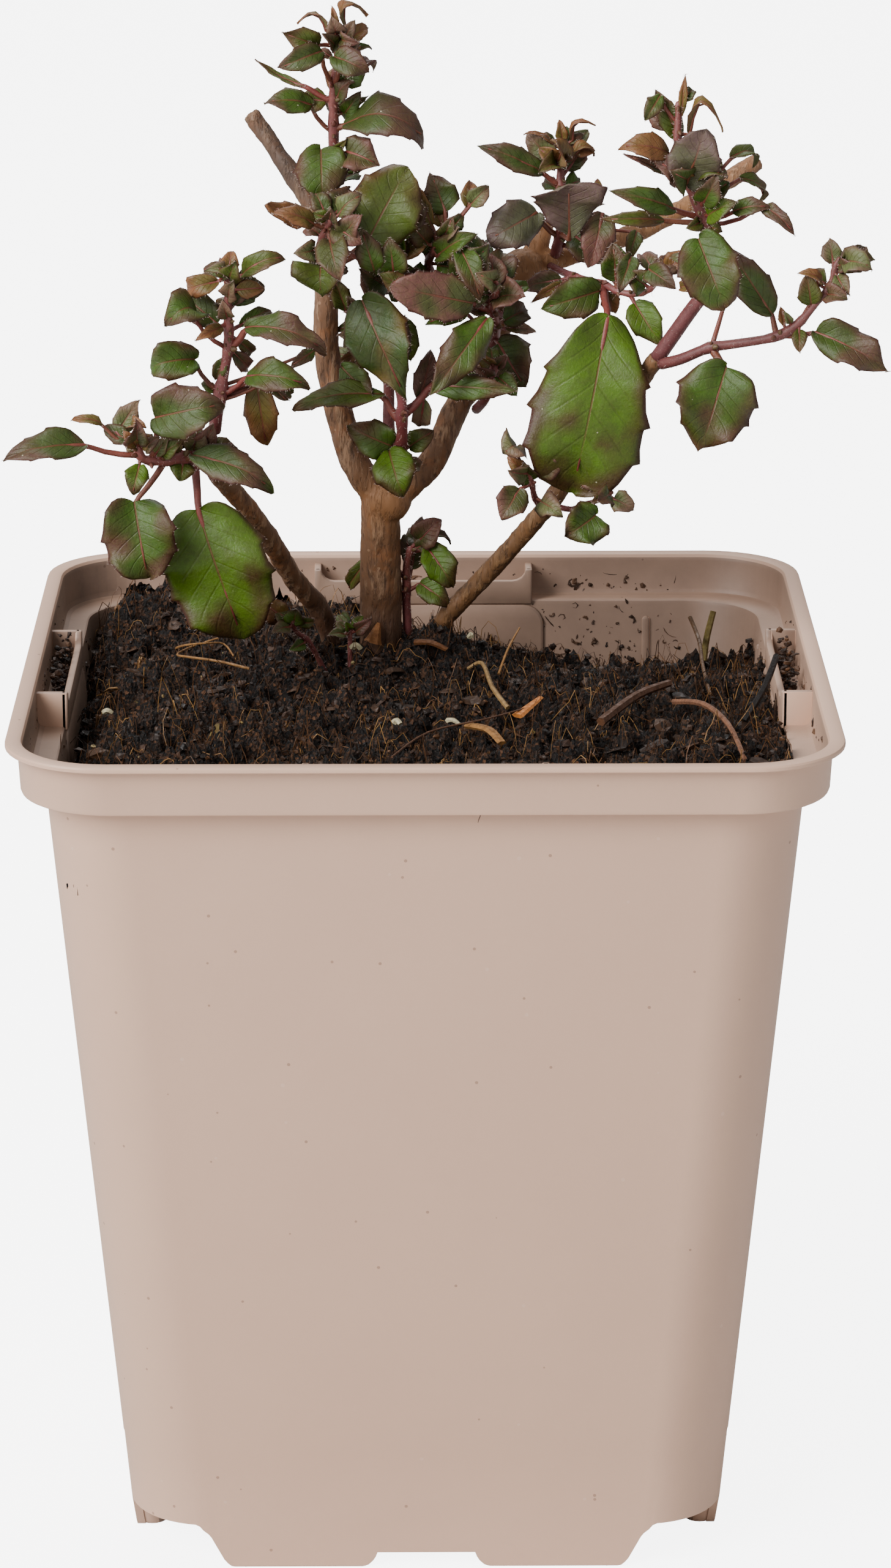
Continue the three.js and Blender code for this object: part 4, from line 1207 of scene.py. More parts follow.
DARK_SKIN = (srgb(98, 50, 52), srgb(122, 66, 62))
SHOOTS = (
    Shoot("top_shoot", slot="leaf_bronze", tuft=9, run=Run((
        (-10.5, 9, 145), (-10.5, 8.5, 148), (-10, 8, 150.5), (-10, 7, 154.5), (-10, 6, 158), (-10, 5, 161),
        (-9.5, 4, 164.5), (-9.5, 3, 167.5),
    ), (1.15, 0.45)), leaves=leaves(
        (7, (3.5, 1, 2), 2, 2.4, 0, YOUNG), (7, (-4.5, -1, 1.5), 1.5, 1.5, 0, YOUNG),
        (6.9, (-0.5, 0, 3.5), 0.9, 0.2, 60, YOUNG),
        (6.5, (-6, -3.5, 2.2), 2.8, 0.6, 80, OLIVE, (-2.1, -1.5, 0.5)),
        (6.4, (-1.5, -4, 2.5), 1.8, 0.5, 70, BRONZE), (6.4, (2, -1, 3.5), 1.8, 0.5, 80, PALE),
        (6.4, (3.5, 3, 2), 1.9, 0.8, 60, YOUNG), (6.3, (4, 1, 0.5), 1, 0.5, 60, GREEN),
        (4.5, (3.1, -0.5, 1.4), 2.1, 0.4, 80, GREEN, (1, 1.5, -1.7)),
        (5.2, (-6.2, -5.8, 2.6), 2.8, 0.9, 75, BRONZE, (-1.2, -3.8, 4.3)),
        (5.2, (4, -5.8, 2.2), 3.2, 0.9, 70, BRONZE, (0.2, -4.8, 3.8)),
        (5.4, (4.5, 4, 0.5), 2.2, 1.6, 40, BURGUNDY), (4.5, (1, 3, 4), 2.7, 0.6, 70, YOUNG),
        (4.6, (-8.5, 0.6, 4.6), 1, -0.8, 40, OLIVE, (-3, -0.4, 1.7)),
        (3.4, (-7.7, -3.6, 4.2), 3, 1, 60, GREEN, (-2.5, -1.6, 3.5)),
        (3.8, (0.5, 3, 3), 2.3, 0.3, 75, GREEN), (3.9, (3.5, 1, 2.5), 1.5, -0.6, 50, OLIVE),
        (3.6, (11.4, -2.4, -1.7), 5.2, 4, 48, BRONZE, (1.2, -0.4, 0.3)),
        (2.7, (5.2, -4.3, -0.3), 4.1, 0.8, 70, BURGUNDY, (1.4, -2.3, 0.9)),
        (2.8, (1.5, -3, 2), 1.1, 0.4, 80, OLIVE),
        (2.7, (-1.2, -4.3, -4.7), 5.9, 1.2, 90, GREEN, (-1.4, -1.3, 0.8)),
        (2.1, (4.5, 6, 0.5), 2.2, 0.8, 50, BRIGHT), (1.8, (3, 6, 0), 1.8, 0.5, 60, GREEN),
    )),
    Shoot("crown_shoot", tuft=6, run=Run((
        (-11, 9, 137.5), (-11, 5, 140.5), (-11.5, 2, 143.5), (-11, 0, 146), (-10, -1, 148),
    ), (0.95, 0.5)), leaves=leaves(
        (3.3, (-6, -3, 2.5), 2.4, 1, 60, YOUNG), (2.2, (-3, -3, 0), 2.4, 0.6, 85, PALE),
        (1.9, (-1.5, -2, -2), 1.5, 0.4, 85, PALE), (3.3, (1.5, -5, -5), 3.8, 1.2, 90, BURGUNDY),
        (1.9, (0, -5, -4), 6.3, 1.4, 90, OLIVE, (0, -2, -1)),
        (1.2, (-5.6, -2.4, 7.9), 3.0, -1.5, 45, YOUNG, (-0.1, -0.4, 6.5), ROUNDED),
        (3.7, (3.5, -3, -2), 3.2, 0.8, 80, BURGUNDY),
        (1, (9.2, -2.5, 12.3), 7.8, -0.5, 90, OLIVE, (4.7, -4.5, 4.5), ROUNDED),
        (1.1, (10.9, 1.3, 9.6), 4.2, 0.5, 85, GREEN, (7.5, -1.7, 4)),
        (2.6, (4.3, -4.8, 3.9), 2.8, 0.5, 75, BURGUNDY, (2.3, -2.8, 1.1)),
        (2.6, (4.3, -2.8, 2), 3, 0.5, 80, GREEN, (5.7, -1.8, -3)),
        (2.8, (-2, 2, 0.5), 2, 0.8, 60, BURGUNDY),
    )),
    Shoot("left_top_shoot", tuft=9, run=Run((
        (-23.3, -4, 124.6), (-23, -5, 126.5), (-22.5, -5.5, 129.5), (-22, -6, 132), (-21.5, -6.5, 135),
        (-21.5, -7, 138), (-21.5, -7.5, 141), (-21.5, -8, 143),
    ), (1.15, 0.5)), leaves=leaves(
        (6.6, (7, -1, 3), 2.4, 1.6, 55, OLIVE), (6.6, (-2.5, -2, 1.5), 1.7, 1.6, 45, PALE),
        (6.8, (0.5, 1, 3), 2, 0.3, 80, YOUNG), (6.6, (4.5, 3, 1), 1.2, 1.2, 50, YOUNG),
        (6.8, (-4.5, 2, -2), 2.5, 1.4, 70, YOUNG),
        (3.8, (-7, -4, 3.2), 4.1, 2.4, 50, GREEN, (-3.6, -1.5, 3.9)),
        (4.8, (-3.5, -4, -1), 1.6, 0.6, 80, YOUNG), (4.8, (-0.5, -2, 3), 1.7, 0.3, 80, PALE),
        (4.4, (-5.5, 3, 4), 3.5, 0.8, 75, BRONZE), (3.8, (11.5, -3, 0), 3.6, 2.4, 50, BRONZE, (2, -1, 2.5)),
        (4.5, (5, 4, 1.5), 1.7, 0.6, 60, BRIGHT), (1.8, (10.5, -4, 2), 3.7, 1.4, 60, GREEN, (3, -1.5, 2.5)),
        (3.7, (-1.5, 1, -3.5), 1.6, 0.4, 80, GREEN), (3.9, (2, 4, -3.5), 1.9, 0.8, 70, BURGUNDY),
        (4.4, (2.5, 5, -3.5), 1.5, 0.8, 70, OLIVE),
        (1.9, (-8.2, -1, 2.8), 4.3, 2, 66, GREEN, (-2.8, -0.5, 3.8)),
        (1.6, (7.8, -1.7, 0.1), 1.3, 0.3, 80, BRONZE, (5.4, -0.7, 2.4)),
        (2.2, (7.5, 0.6, 2), 1.5, 0.3, 80, GREEN, (10.3, 2.6, 3.5)),
        (1.8, (-2, 1, 1.5), 1.2, 0.4, 80, OLIVE), (1.9, (5, 4, -7.5), 3.7, 0.8, 90, YOUNG, (4, 1.5, 1)),
        (1.7, (8, 6, -1.5), 1.6, 0.8, 60, BURGUNDY, (5.5, 2, 1.5)),
    )),
    Shoot("left_low_shoot", slot="leaf_bronze", tuft=7, run=Run((
        (-24.2, -4.6, 122.6), (-25, -6.2, 122.3), (-26.5, -8, 122.5), (-29, -9.5, 122.5), (-31, -10.5, 123),
        (-31.5, -11, 124.5),
    ), (1.15, 0.6)), leaves=leaves(
        (2.8, (-2, -3, -13), 7.9, 0.8, 88, GREEN, (-3.5, -1, -4.5), ROUNDED),
        (1.4, (5.5, -1, -21.4), 11.4, 1, 90, BRIGHT, (0.5, -0.5, -6), ROUNDED),
        (4.3, (-15, -4, 0.5), 3.8, 1, 50, BRONZE, (-6, -1.5, 1.5)),
        (4.6, (-7.5, 0, 3.5), 1.3, 0.6, 40, YOUNG, (-4, 0, 3)),
        (4.6, (0, 1, 5.5), 2.6, -0.8, 80, PALE, (-2.5, 0.5, 2)),
        (4.7, (1, -2, 3), 1.6, 0.8, 50, YOUNG, (-0.5, -0.5, 2.5)),
        (4.2, (-1, -2, -4), 2.6, 0.4, 88, BRIGHT), (4.8, (-1.5, -2, 2.5), 1.7, 0.4, 70, YOUNG),
        (4.7, (1.5, -1, 2), 1.6, 0.4, 70, YOUNG), (3.5, (8.5, -3, 7), 5.9, 1.2, 75, BRONZE, (0.5, -1, 5)),
        (3.5, (2, -1, 3), 1.6, 0.4, 75, PALE), (1.9, (-2.5, 2, 3), 1.9, 0.4, 75, YOUNG),
        (1.8, (-3, -1, 1), 1.9, 0.3, 60, YOUNG), (1.6, (-2, 2, 4), 4.3, 0.6, 80, BURGUNDY),
        (1.5, (1, -1, 4), 3, 0.4, 85, PALE), (1.1, (2, -2.5, 4), 2.7, 0.4, 85, BURGUNDY),
        (0.9, (4.5, -1, 1.5), 1.8, 1, 50, OLIVE), (2, (10.5, -4, -3), 4.2, 1.8, 50, BRONZE, (1, -1.5, 0.5)),
        (2, (-0.5, -1, -2.5), 2.7, 0.2, 88, OLIVE),
    )),
    Shoot("fork_shoot", skin=(srgb(104, 40, 46), srgb(128, 58, 58)), run=Run((
        (-3, 7, 118), (-2.5, 3, 122), (-2.5, 1, 124.5), (-2.5, 0, 127), (-3, 0, 129),
    ), (1.1, 0.7)), leaves=leaves(
        (1.9, (-12.5, 2, 1), 3.2, 1.8, 50, OLIVE, (-2, 0.5, 3)),
        (2.2, (12.9, -2.8, 3.6), 3, 0.8, 75, GREEN, (3.2, 0.2, 3.6)),
        (2.1, (3.5, 3, 7.5), 2.7, 0.4, 105, BURGUNDY, (2, 1, 2)),
        (2.5, (2, 4, -3), 2.2, 0.6, 85, PALE, (2.5, 1.5, 1)),
        (0.6, (-6, -1, 3), 4.3, 0.6, 85, GREEN, (-1, -0.5, 0.5)),
        (0.4, (0.5, -5, -4), 5, 1.2, 90, BRIGHT, (-1, -2, 0.5)),
        (0.5, (4, 0, 2.5), 2.6, 0.4, 70, OLIVE, (1, 0, 0.5)), (0.4, (2.5, 1, -2), 1.7, 0.4, 80, PALE),
        (0.3, (-5, 3, 1), 1.2, 0.3, 60, BURGUNDY),
    )),
    Shoot("inner_shoot", tuft=8, run=Run((
        (8, 13.5, 130.3), (8, 8, 134.5), (7.5, 5, 137), (8, 3, 138.5), (8, 2, 140),
    ), (0.9, 0.5)), leaves=leaves(
        (1.5, (-11.5, -8.5, 4.7), 5.2, 0.9, 80, BURGUNDY, (-2.5, -5.5, 2.2), ROUNDED),
        (0.8, (-7.3, -13.1, -5.1), 4.5, 0.7, 80, GREEN, (-1, -8.1, 2.5)),
        (0.4, (3.5, -5, -5), 5.7, 0.6, 85, BRONZE, (0.5, -2, -0.5)),
        (3, (-0.5, 1, 4.5), 3.1, 0.3, 100, BURGUNDY), (3.2, (1, 4, 4), 3.6, 0.3, 85, BRONZE),
        (2.5, (3.5, -3, 1), 4.1, 0.4, 60, BURGUNDY), (2.3, (-3, 0, 1.5), 1.6, 0.4, 60, BURGUNDY),
        (2, (-3, -3, 1), 1.6, 0.6, 60, PALE), (1.5, (-2.5, -3, 1), 1.5, -0.6, 60, PALE),
        (3.1, (4, 4, 0), 1.9, 0.4, 60, BRIGHT), (0.8, (4, 4, 1), 2.9, 0.4, 70, GREEN),
        (0.7, (5, 5, -1.5), 1.4, 0.4, 60, YOUNG), (3.5, (-4, 8, 5), 3.4, 0.8, 85, GREEN),
        (2, (-0.5, 7, 6.5), 1.8, 0.3, 80, GREEN), (0.4, (1.5, 3, -5), 2.2, 0.3, 85, GREEN),
        (0.6, (-8.1, -9.2, 2.8), 1.8, 0.5, 70, BRIGHT, (-3.1, -8.2, 3.7)),
    )),
    Shoot("elbow_shoot", run=Run((
        (6, 11, 123.5), (7, 6, 126), (7.5, 4, 128.5), (8, 4, 130),
    ), (0.9, 0.65)), leaves=leaves(
        (1.9, (3, -3, -1), 2.5, 0.6, 60, GREEN, (1, -1, 0.5)),
        (2, (-6, -1, -0.5), 3, 0.8, 60, GREEN, (-1, -0.5, 0.5)),
        (2.8, (1.5, 0, 1.5), 1.4, 0.3, 70, BURGUNDY),
    )),
    Shoot("upper_mid_shoot", tuft=6, run=Run((
        (9, 14, 133.6), (5.5, 11, 135.8), (2, 9, 138.5), (0.5, 7, 141), (1.5, 5, 143.5), (2.5, 5, 145),
    ), (0.85, 0.45)), leaves=leaves(
        (4.9, (-1.5, 1, 6.5), 4.2, -0.4, 95, BRONZE, (0, 0.5, 2.5)),
        (4.9, (3, 2, 6), 1.9, 0.2, 80, YOUNG, (2.5, 0.5, 3)),
        (4.9, (5, 0, 5.5), 2.2, 0.6, 70, PALE, (3, 0, 3.5)),
        (3.4, (3.5, -2, 1.5), 2.2, 0.6, 20, GREEN, (0.5, -0.5, 1.5)),
        (3.1, (4, -3, 0), 3.2, 0.3, 88, GREEN), (4, (5, -5, -5.5), 2.9, 1.2, 60, GREEN, (2.5, -2, 0.3)),
        (3.3, (0, -1, 3), 1.9, 0.2, 88, OLIVE), (3.1, (0.5, 2, 6), 1.8, 0.6, 75, OLIVE, (-1, 0.5, 3)),
        (2.8, (-2.5, -2, -0.5), 1.8, 0.3, 70, BRIGHT),
        (1.6, (3.9, -7.8, 6.8), 4.2, 0.5, 85, BRONZE, (0, -5.8, 2.6)),
        (1.6, (-7.2, -10.8, 8.3), 3.4, 0.5, 85, GREEN, (-6.7, -9.8, 3.7)),
        (1.4, (-9.2, -11.2, 4.8), 2.5, 0.4, 80, OLIVE, (-5.5, -10.2, 2.7)),
        (1.4, (3.1, -9.2, 5.4), 2.8, 0.4, 85, PALE, (0.5, -7.2, 2.3)),
        (4, (-3.4, -2, 3.3), 2.8, 0.5, 70, GREEN, (-1, 0, 0.2)), (4.2, (-3.1, 1, 7.3), 1.5, 0.5, 60, YOUNG),
        (3.8, (4.6, -3.4, 2.6), 2.8, 0.8, 60, GREEN, (0.2, -0.4, -0.7)),
    )),
    Shoot("centre_shoot", tuft=10, run=Run((
        (-3.5, 10, 116.5), (-4, 13, 121), (-4, 13, 126), (-4.5, 12, 130.5), (-5, 10, 135.5), (-4.5, 8, 139),
        (-3.5, 6, 141.5), (-2.5, 5, 144),
    ), (1.15, 0.5)), leaves=leaves(
        (7, (2.5, 3, 5.5), 4.2, 0.4, 90, GREEN, (0.5, 1, 1)), (5.8, (-1, -3, 4), 3.3, 0.4, 90, GREEN),
        (6.2, (1, -4, 3), 1.9, 0.2, 88, BRIGHT), (6.9, (-1, -3, 2.5), 2.1, 0.8, 60, OLIVE),
        (6.3, (3.5, -2, 1.5), 2.5, 0.5, 60, YOUNG), (5.7, (0.5, -5, -1.5), 4.3, 0.6, 90, GREEN),
        (4.7, (-2.5, -1, 3.5), 1.9, 0.2, 70, BURGUNDY), (5.5, (-2.5, 1, 3), 2.2, 0.3, 80, GREEN),
        (5.9, (2.5, -3, 0), 1.5, 0.3, 80, BRIGHT), (3.6, (-5.5, -1, -0.5), 1.8, 0.4, 75, BRIGHT),
        (3.8, (-4, -3, 1), 1.8, 0.3, 75, BURGUNDY),
        (4.1, (3.5, 2, -7), 2.9, 0.4, 88, OLIVE, (2.5, 0.5, -1.5)),
        (4.1, (3.1, -12.8, -8.3), 6.9, 0.9, 92, TURNING, (-1.9, -9.8, 2.6), POINTED),
        (3.2, (2.5, -6.6, 4.2), 3, 0.4, 85, BRONZE, (1, -5.6, -2)),
        (5.2, (6.3, -4.6, 1), 3.4, 0.5, 75, GREEN, (2.6, -2.6, -0.7)),
        (5.1, (-2.7, -5.8, 2.3), 3.4, 0.5, 80, GREEN, (0.3, -2.8, -0.3)),
        (6.1, (-2.1, -3.9, 3.1), 3.9, 0.4, 88, OLIVE, (-0.2, -1.9, -0.6)),
        (3.4, (-4.7, -6.2, 1.1), 2.8, 0.4, 80, GREEN, (-1.3, -3.2, -0.6)),
        (3, (-1.2, -11, -3.4), 3.5, 0.4, 85, GREEN, (-4.6, -8, -0.6)),
        (3.1, (-5.5, 1, -2.5), 1.3, 0.2, 80, YOUNG), (2.5, (-8, 3, 1), 2.1, 0.6, 60, PALE),
        (3.2, (-2.4, -5.6, 9.8), 2, 0.5, 85, BURGUNDY, (-0.7, -4.6, 5.4)),
        (2.4, (-4.3, -8.6, 10.3), 1.7, 0.4, 80, GREEN, (-3.2, -7.6, 8.1)),
        (2.7, (-5.8, -6.3, 10.9), 2.3, 0.5, 80, OLIVE, (-4.4, -5.3, 6.7)),
    )),
    Shoot("right_top_shoot", slot="leaf_bronze", tuft=8, run=Run((
        (15, 17, 140), (15.5, 14, 143), (15.5, 12, 146), (15.5, 12, 148.5), (15.5, 13, 151),
        (16, 14, 153.5),
    ), (0.95, 0.45)), leaves=leaves(
        (3.2, (-9.5, -2, 5), 2.9, 0.8, 60, BRONZE, (-2, -0.5, 1.5)), (3.9, (-4, 1, 4), 2.9, 0.4, 78, PALE),
        (4.7, (-4.5, -1, 2.5), 1, 0.4, 30, YOUNG), (4.7, (-0.5, 0, 3.5), 1.4, 0.2, 80, YOUNG),
        (4.9, (3.5, -1, 2.5), 1.1, 1.6, 20, YOUNG), (4.5, (3, 2, 2.5), 1.9, 0.4, 70, PALE),
        (3.5, (3, 3, 3.5), 2.3, 0.3, 85, BURGUNDY), (4.2, (4, 1, 0.5), 1.2, 1.8, 30, YOUNG),
        (3, (-2, 3, 0.5), 1.7, 0.3, 70, GREEN), (3.1, (2.5, 3, 0), 2.2, 0.6, 60, BRIGHT),
        (1, (0.7, -8, 7), 7.9, -0.3, 92, DUSKY, (0.9, -5, 0.3), FLARED),
        (0.9, (-8.3, -8.3, 1.3), 5.2, 0.4, 80, DUSKY, (-2.7, -5.3, 3.9), ROUNDED),
        (1.6, (3.1, -4.8, -4.5), 3.9, 0.4, 88, BURGUNDY, (4.7, -2.8, 1.5)),
        (0.6, (6.9, -7.2, -4), 2.8, 0.4, 86, BRONZE, (5.9, -6.2, 1)),
        (1.9, (7.6, -0.2, -5.3), 1.8, 0.3, 80, OLIVE, (8.7, 1.8, -2.3)),
        (0.9, (5, -3, -2.5), 4.3, 0.6, 60, BRONZE, (1.5, -1, 0.5)),
        (2.5, (4, 2, 2.5), 1.1, 0.2, 60, YOUNG, (4.5, 0.5, 0)),
    )),
    Shoot("right_low_shoot", tuft=5, run=Run((
        (14.5, 16, 139), (17, 10, 139), (20, 6, 139), (22, 4, 138.5), (24, 3, 138.5), (25.5, 2, 139.5),
        (26, 2, 141),
    ), (0.7, 0.4)), leaves=leaves(
        (4.8, (-2.5, -1, 2), 3, 0.4, 82, GREEN), (5.6, (2.5, -1, 1.5), 1.9, 0.6, 70, PALE),
        (5.4, (2, -3, 0.5), 2.2, 0.8, 60, PALE), (5.8, (0.5, 1, 2), 1.5, 0.2, 75, BRONZE),
        (2.8, (-0.5, -1, 5.5), 3.3, 0.3, 90, GREEN),
        (2, (-7, -4, -2), 4.5, 0.6, 80, GREEN, (-0.5, -1.5, -0.5)),
        (2, (-3.5, -8.5, -22.6), 12.8, 0.9, 90, BRIGHT, (0.5, -6, -2.2), DROOPING),
        (2.2, (1, 1, -3.5), 2.1, 0.3, 88, YOUNG),
        (3.5, (3.5, -2, -5.5), 3.7, 0.5, 85, BRIGHT, (0.5, -0.5, -1)),
        (4.3, (-2.8, -2.7, 0.5), 2.4, 0.4, 85, BRONZE, (-1.4, 0.3, 3.9)),
        (5.2, (2.3, -4, 0.4), 2.8, 0.5, 80, BRONZE, (-0.6, -1, 1.9)),
        (1, (-6, 1, -1.5), 2.5, 0.4, 65, BURGUNDY), (1, (-5, -2, -2.5), 1.2, 0.3, 60, YOUNG),
    )),
    Shoot("upper_right_shoot", slot="leaf_bronze", tuft=5, skin=DARK_SKIN, run=Run((
        (26, -0.5, 132), (29, -2.5, 137), (31, -4, 140.5), (31, -5, 143.5), (31, -5.5, 146.5),
        (30.5, -6, 149), (29.5, -7, 151.5), (28.5, -8, 154.5), (27.5, -9, 157.5), (27.5, -9, 160),
        (27.5, -9, 162),
    ), (1.35, 0.45)), leaves=leaves(
        (8.4, (5, -1, 0.5), 1.5, 3.8, 20, YOUNG),
        (8.6, (-2.5, 1, 4.3), 2.5, 0.6, 78, OLIVE, (0.2, 1, -1.1)),
        (8.9, (-3.7, -1, 0.4), 2, 0.5, 70, GREEN, (-2, 0, 2.9)),
        (9.8, (0.7, 0, 3.5), 1, 0.2, 60, YOUNG, (0.3, 0, -1.1)),
        (7.5, (-7.3, -2.5, 1.7), 3, 1.2, 60, YOUNG, (-1.7, -0.5, 0.4)),
        (6.5, (-7, -4, 4), 1.2, -0.3, 45, BURGUNDY),
        (5.3, (-5.1, -4.7, 6.3), 3.2, 0.7, 75, BURGUNDY, (-1.8, -1.7, 3.8)),
        (5.6, (0.3, -5.4, 9.1), 5.7, 0.5, 90, DUSKY, (-1.4, -2.4, 2.7), ROUNDED),
        (5.4, (1.6, -4.6, 4.5), 2.8, 0.6, 75, GREEN, (0.3, -2.6, 1.1)),
        (5, (3.4, -5, 2.6), 2.8, 0.7, 70, BRIGHT, (0.5, -2, 0.5)),
        (4.8, (7.1, -5.1, 2.6), 2.1, 0.6, 60, BRONZE, (3.1, -3.1, 1.6)),
        (4.6, (9.7, -6.2, -0.1), 1.8, 1.2, 50, BRONZE, (5.7, -3.2, 2.6)),
        (6.2, (3.5, -4, 2.5), 1.9, 1.4, 40, OLIVE), (5.8, (2, -2, 3), 2.1, 0.3, 80, OLIVE),
        (5.6, (3.5, 0, 2.5), 2.4, 0.4, 80, GREEN), (6.5, (3.5, 3, 3), 2.5, 0.4, 80, OLIVE),
        (6.8, (3, 4, 3.5), 1.5, 0.4, 70, OLIVE), (6.1, (7.5, 4, 2.5), 2.1, 1.2, 30, OLIVE, (4, 1.5, 3.5)),
        (7, (-1.5, -3, 1.5), 1.9, 0.2, 90, OLIVE), (6.6, (-1, -4, 2), 1.5, 0.3, 90, YOUNG),
        (4.9, (-10.6, -6, 4.2), 2.7, 1.4, 70, GREEN, (-3.4, -2, 1.4)),
        (4.7, (-11.5, -3.2, 1), 1.8, 0.8, 70, OLIVE, (-4.4, -0.2, 0.3)),
        (4.8, (-2, -2, -0.5), 1.7, 0.3, 82, OLIVE), (4.6, (2, -1, -0.5), 1.7, 0.3, 82, OLIVE),
        (5.6, (7.5, 5, -1), 1.9, 1.2, 40, OLIVE, (4.5, 1.5, 2.5)),
        (4, (1.8, -6.5, -6.6), 6.4, 0.8, 90, GREEN, (-1.1, -3.5, 0.5), ROUNDED),
        (3, (-4, 2, 0.5), 1.6, 0.3, 70, PALE), (2.4, (-3, 2, -1.5), 1.6, 0.3, 75, YOUNG),
    )),
    Shoot("right_shoot", tuft=7, skin=(srgb(96, 48, 48), srgb(120, 66, 60)), run=Run((
        (26.4, -1, 131.4), (28.5, -3, 132.4), (31.5, -4.5, 134), (34, -5, 134.5), (38.5, -6, 135.5),
        (41, -6.5, 137), (43, -7, 139.5), (44.5, -7, 141.5), (45, -7, 143.5), (45.5, -7, 144.5),
    ), (1, 0.4)), leaves=leaves(
        (2.1, (-1.5, -4, -11), 8.7, 0.8, 90, GREEN, (1.5, -1.5, -2)),
        (2.1, (1, 5, 9), 3.4, 0.3, 90, GREEN, (1.5, 2, 4.5)),
        (4.1, (-5.2, 3, 9.3), 3.9, 0.6, 85, BRONZE, (-0.4, 1, 2.2)),
        (4.5, (-0.5, 1, 2.5), 1.1, 0.2, 60, YOUNG), (4.8, (-1, -1, 2), 0.9, 0.2, 70, PALE),
        (5.2, (0.5, -1, 5.5), 2.6, 0.3, 82, OLIVE, (1, -0.5, 2)), (6.8, (-3.5, -1, 2), 1.3, 1, 40, YOUNG),
        (7.8, (-0.5, 1, 3.5), 2.3, 0.2, 82, PALE), (8.2, (3, 0, 2), 1.5, 0.3, 60, YOUNG),
        (7.8, (1.5, -2, -2.5), 2, 0.5, 85, PALE), (6.9, (-1.5, 3, 1), 2.1, 0.3, 80, OLIVE),
        (4.2, (12, -3, -3.5), 4.6, 1.2, 60, BRONZE, (4, -1, 0.5)), (5.1, (0, -2, -3), 1.7, 0.2, 85, OLIVE),
        (8.2, (1.5, -2, 0.5), 1.7, 0.2, 75, BURGUNDY),
    )),
    Shoot("low_sprig", run=Run((
        (13.5, 5, 113), (12.5, 1, 115.5), (12, -1, 118), (11.5, -2, 120),
    ), (0.55, 0.4)), leaves=leaves(
        (1.9, (-3.5, -3, -3.5), 3.6, 0.4, 85, BURGUNDY, (-1.5, -1, -0.5)),
        (1.8, (-1, -2, 3), 2.6, 0.2, 88, GREEN), (1.1, (3, -4, -1), 2.9, 0.4, 80, PALE),
        (2.6, (-3, -2, 2.5), 3.8, 0.8, 60, PALE, (-1.5, -0.5, 3)),
    )),
    Shoot("low_side_sprig", run=Run((
        (14.5, 6, 113.5), (16.5, 2, 114), (18, 0, 115), (20, -1, 116), (21, -2, 117),
    ), (0.55, 0.4)), leaves=leaves(
        (2.1, (-2.5, -3, -3), 5, 0.4, 85, GREEN, (1, -1, -1)), (3.5, (3, -1, -1.5), 2.5, 0.4, 65, PALE),
    )),
    Shoot("foot_shoot", run=Run((
        (-1.5, 13.5, 92), (-2, 13, 99), (-2, 12.5, 102), (-2, 12, 105), (-1.5, 11.5, 107),
    ), (0.85, 0.55)), leaves=leaves(
        (2.1, (2, 4, 7.5), 3.3, 0.3, 85, PALE), (3.7, (2.5, 3, 3), 1.3, 0.5, 60, PALE),
        (3.9, (5, 1, 0.5), 1.5, 1.8, 30, GREEN), (3.8, (5, -2, -4), 3.8, 1.2, 60, BRIGHT, (2, -0.5, 0.5)),
        (1.9, (5, -2, -1.5), 3, 0.8, 60, BRIGHT, (1.5, -0.5, 1)),
        (2.4, (-7, 7, -3.5), 1.8, 0.8, 60, OLIVE, (-4, 2.5, 2)),
    )),
    Shoot("soil_sprig", run=Run((
        (-10.5, 6, 92), (-13, 3, 98), (-14.5, 1, 100), (-15, 0, 101.5),
    ), (0.5, 0.35)), leaves=leaves(
        (2.8, (0.5, 0, 1.5), 2.4, 0.2, 80, BRIGHT), (2.6, (-2.5, -3, 0), 1.8, 0.4, 60, PALE),
        (1.2, (-2, -2, -0.5), 1.5, 0.3, 70, GREEN),
    )),
    Shoot("star_sprig", run=Run((
        (-8.5, 6, 92), (-8.5, 6, 97.5), (-8.5, 6, 99),
    ), (0.45, 0.35)), leaves=leaves(
        (1.6, (-1.5, 0, 1.5), 1.3, 0.2, 60, PALE), (1.7, (-0.5, -1, 1.5), 1.1, 0.2, 60, BRIGHT),
        (1.8, (1.5, 1, 1.5), 1.3, 0.2, 60, BRIGHT), (1.5, (-2.5, -2, 0.5), 1.4, 0.3, 45, PALE),
        (1.5, (2, 1, 1.5), 1.4, 0.3, 50, BRIGHT),
    )),
)


# ---------------------------------------------------------------- wood


@dataclass(frozen=True)
class Limb:
    """A woody limb.

    Attributes:
        run: Its middle line and thickness.
        cut: True where it ends in a pruning cut.
    """

    run: Run
    cut: bool = False


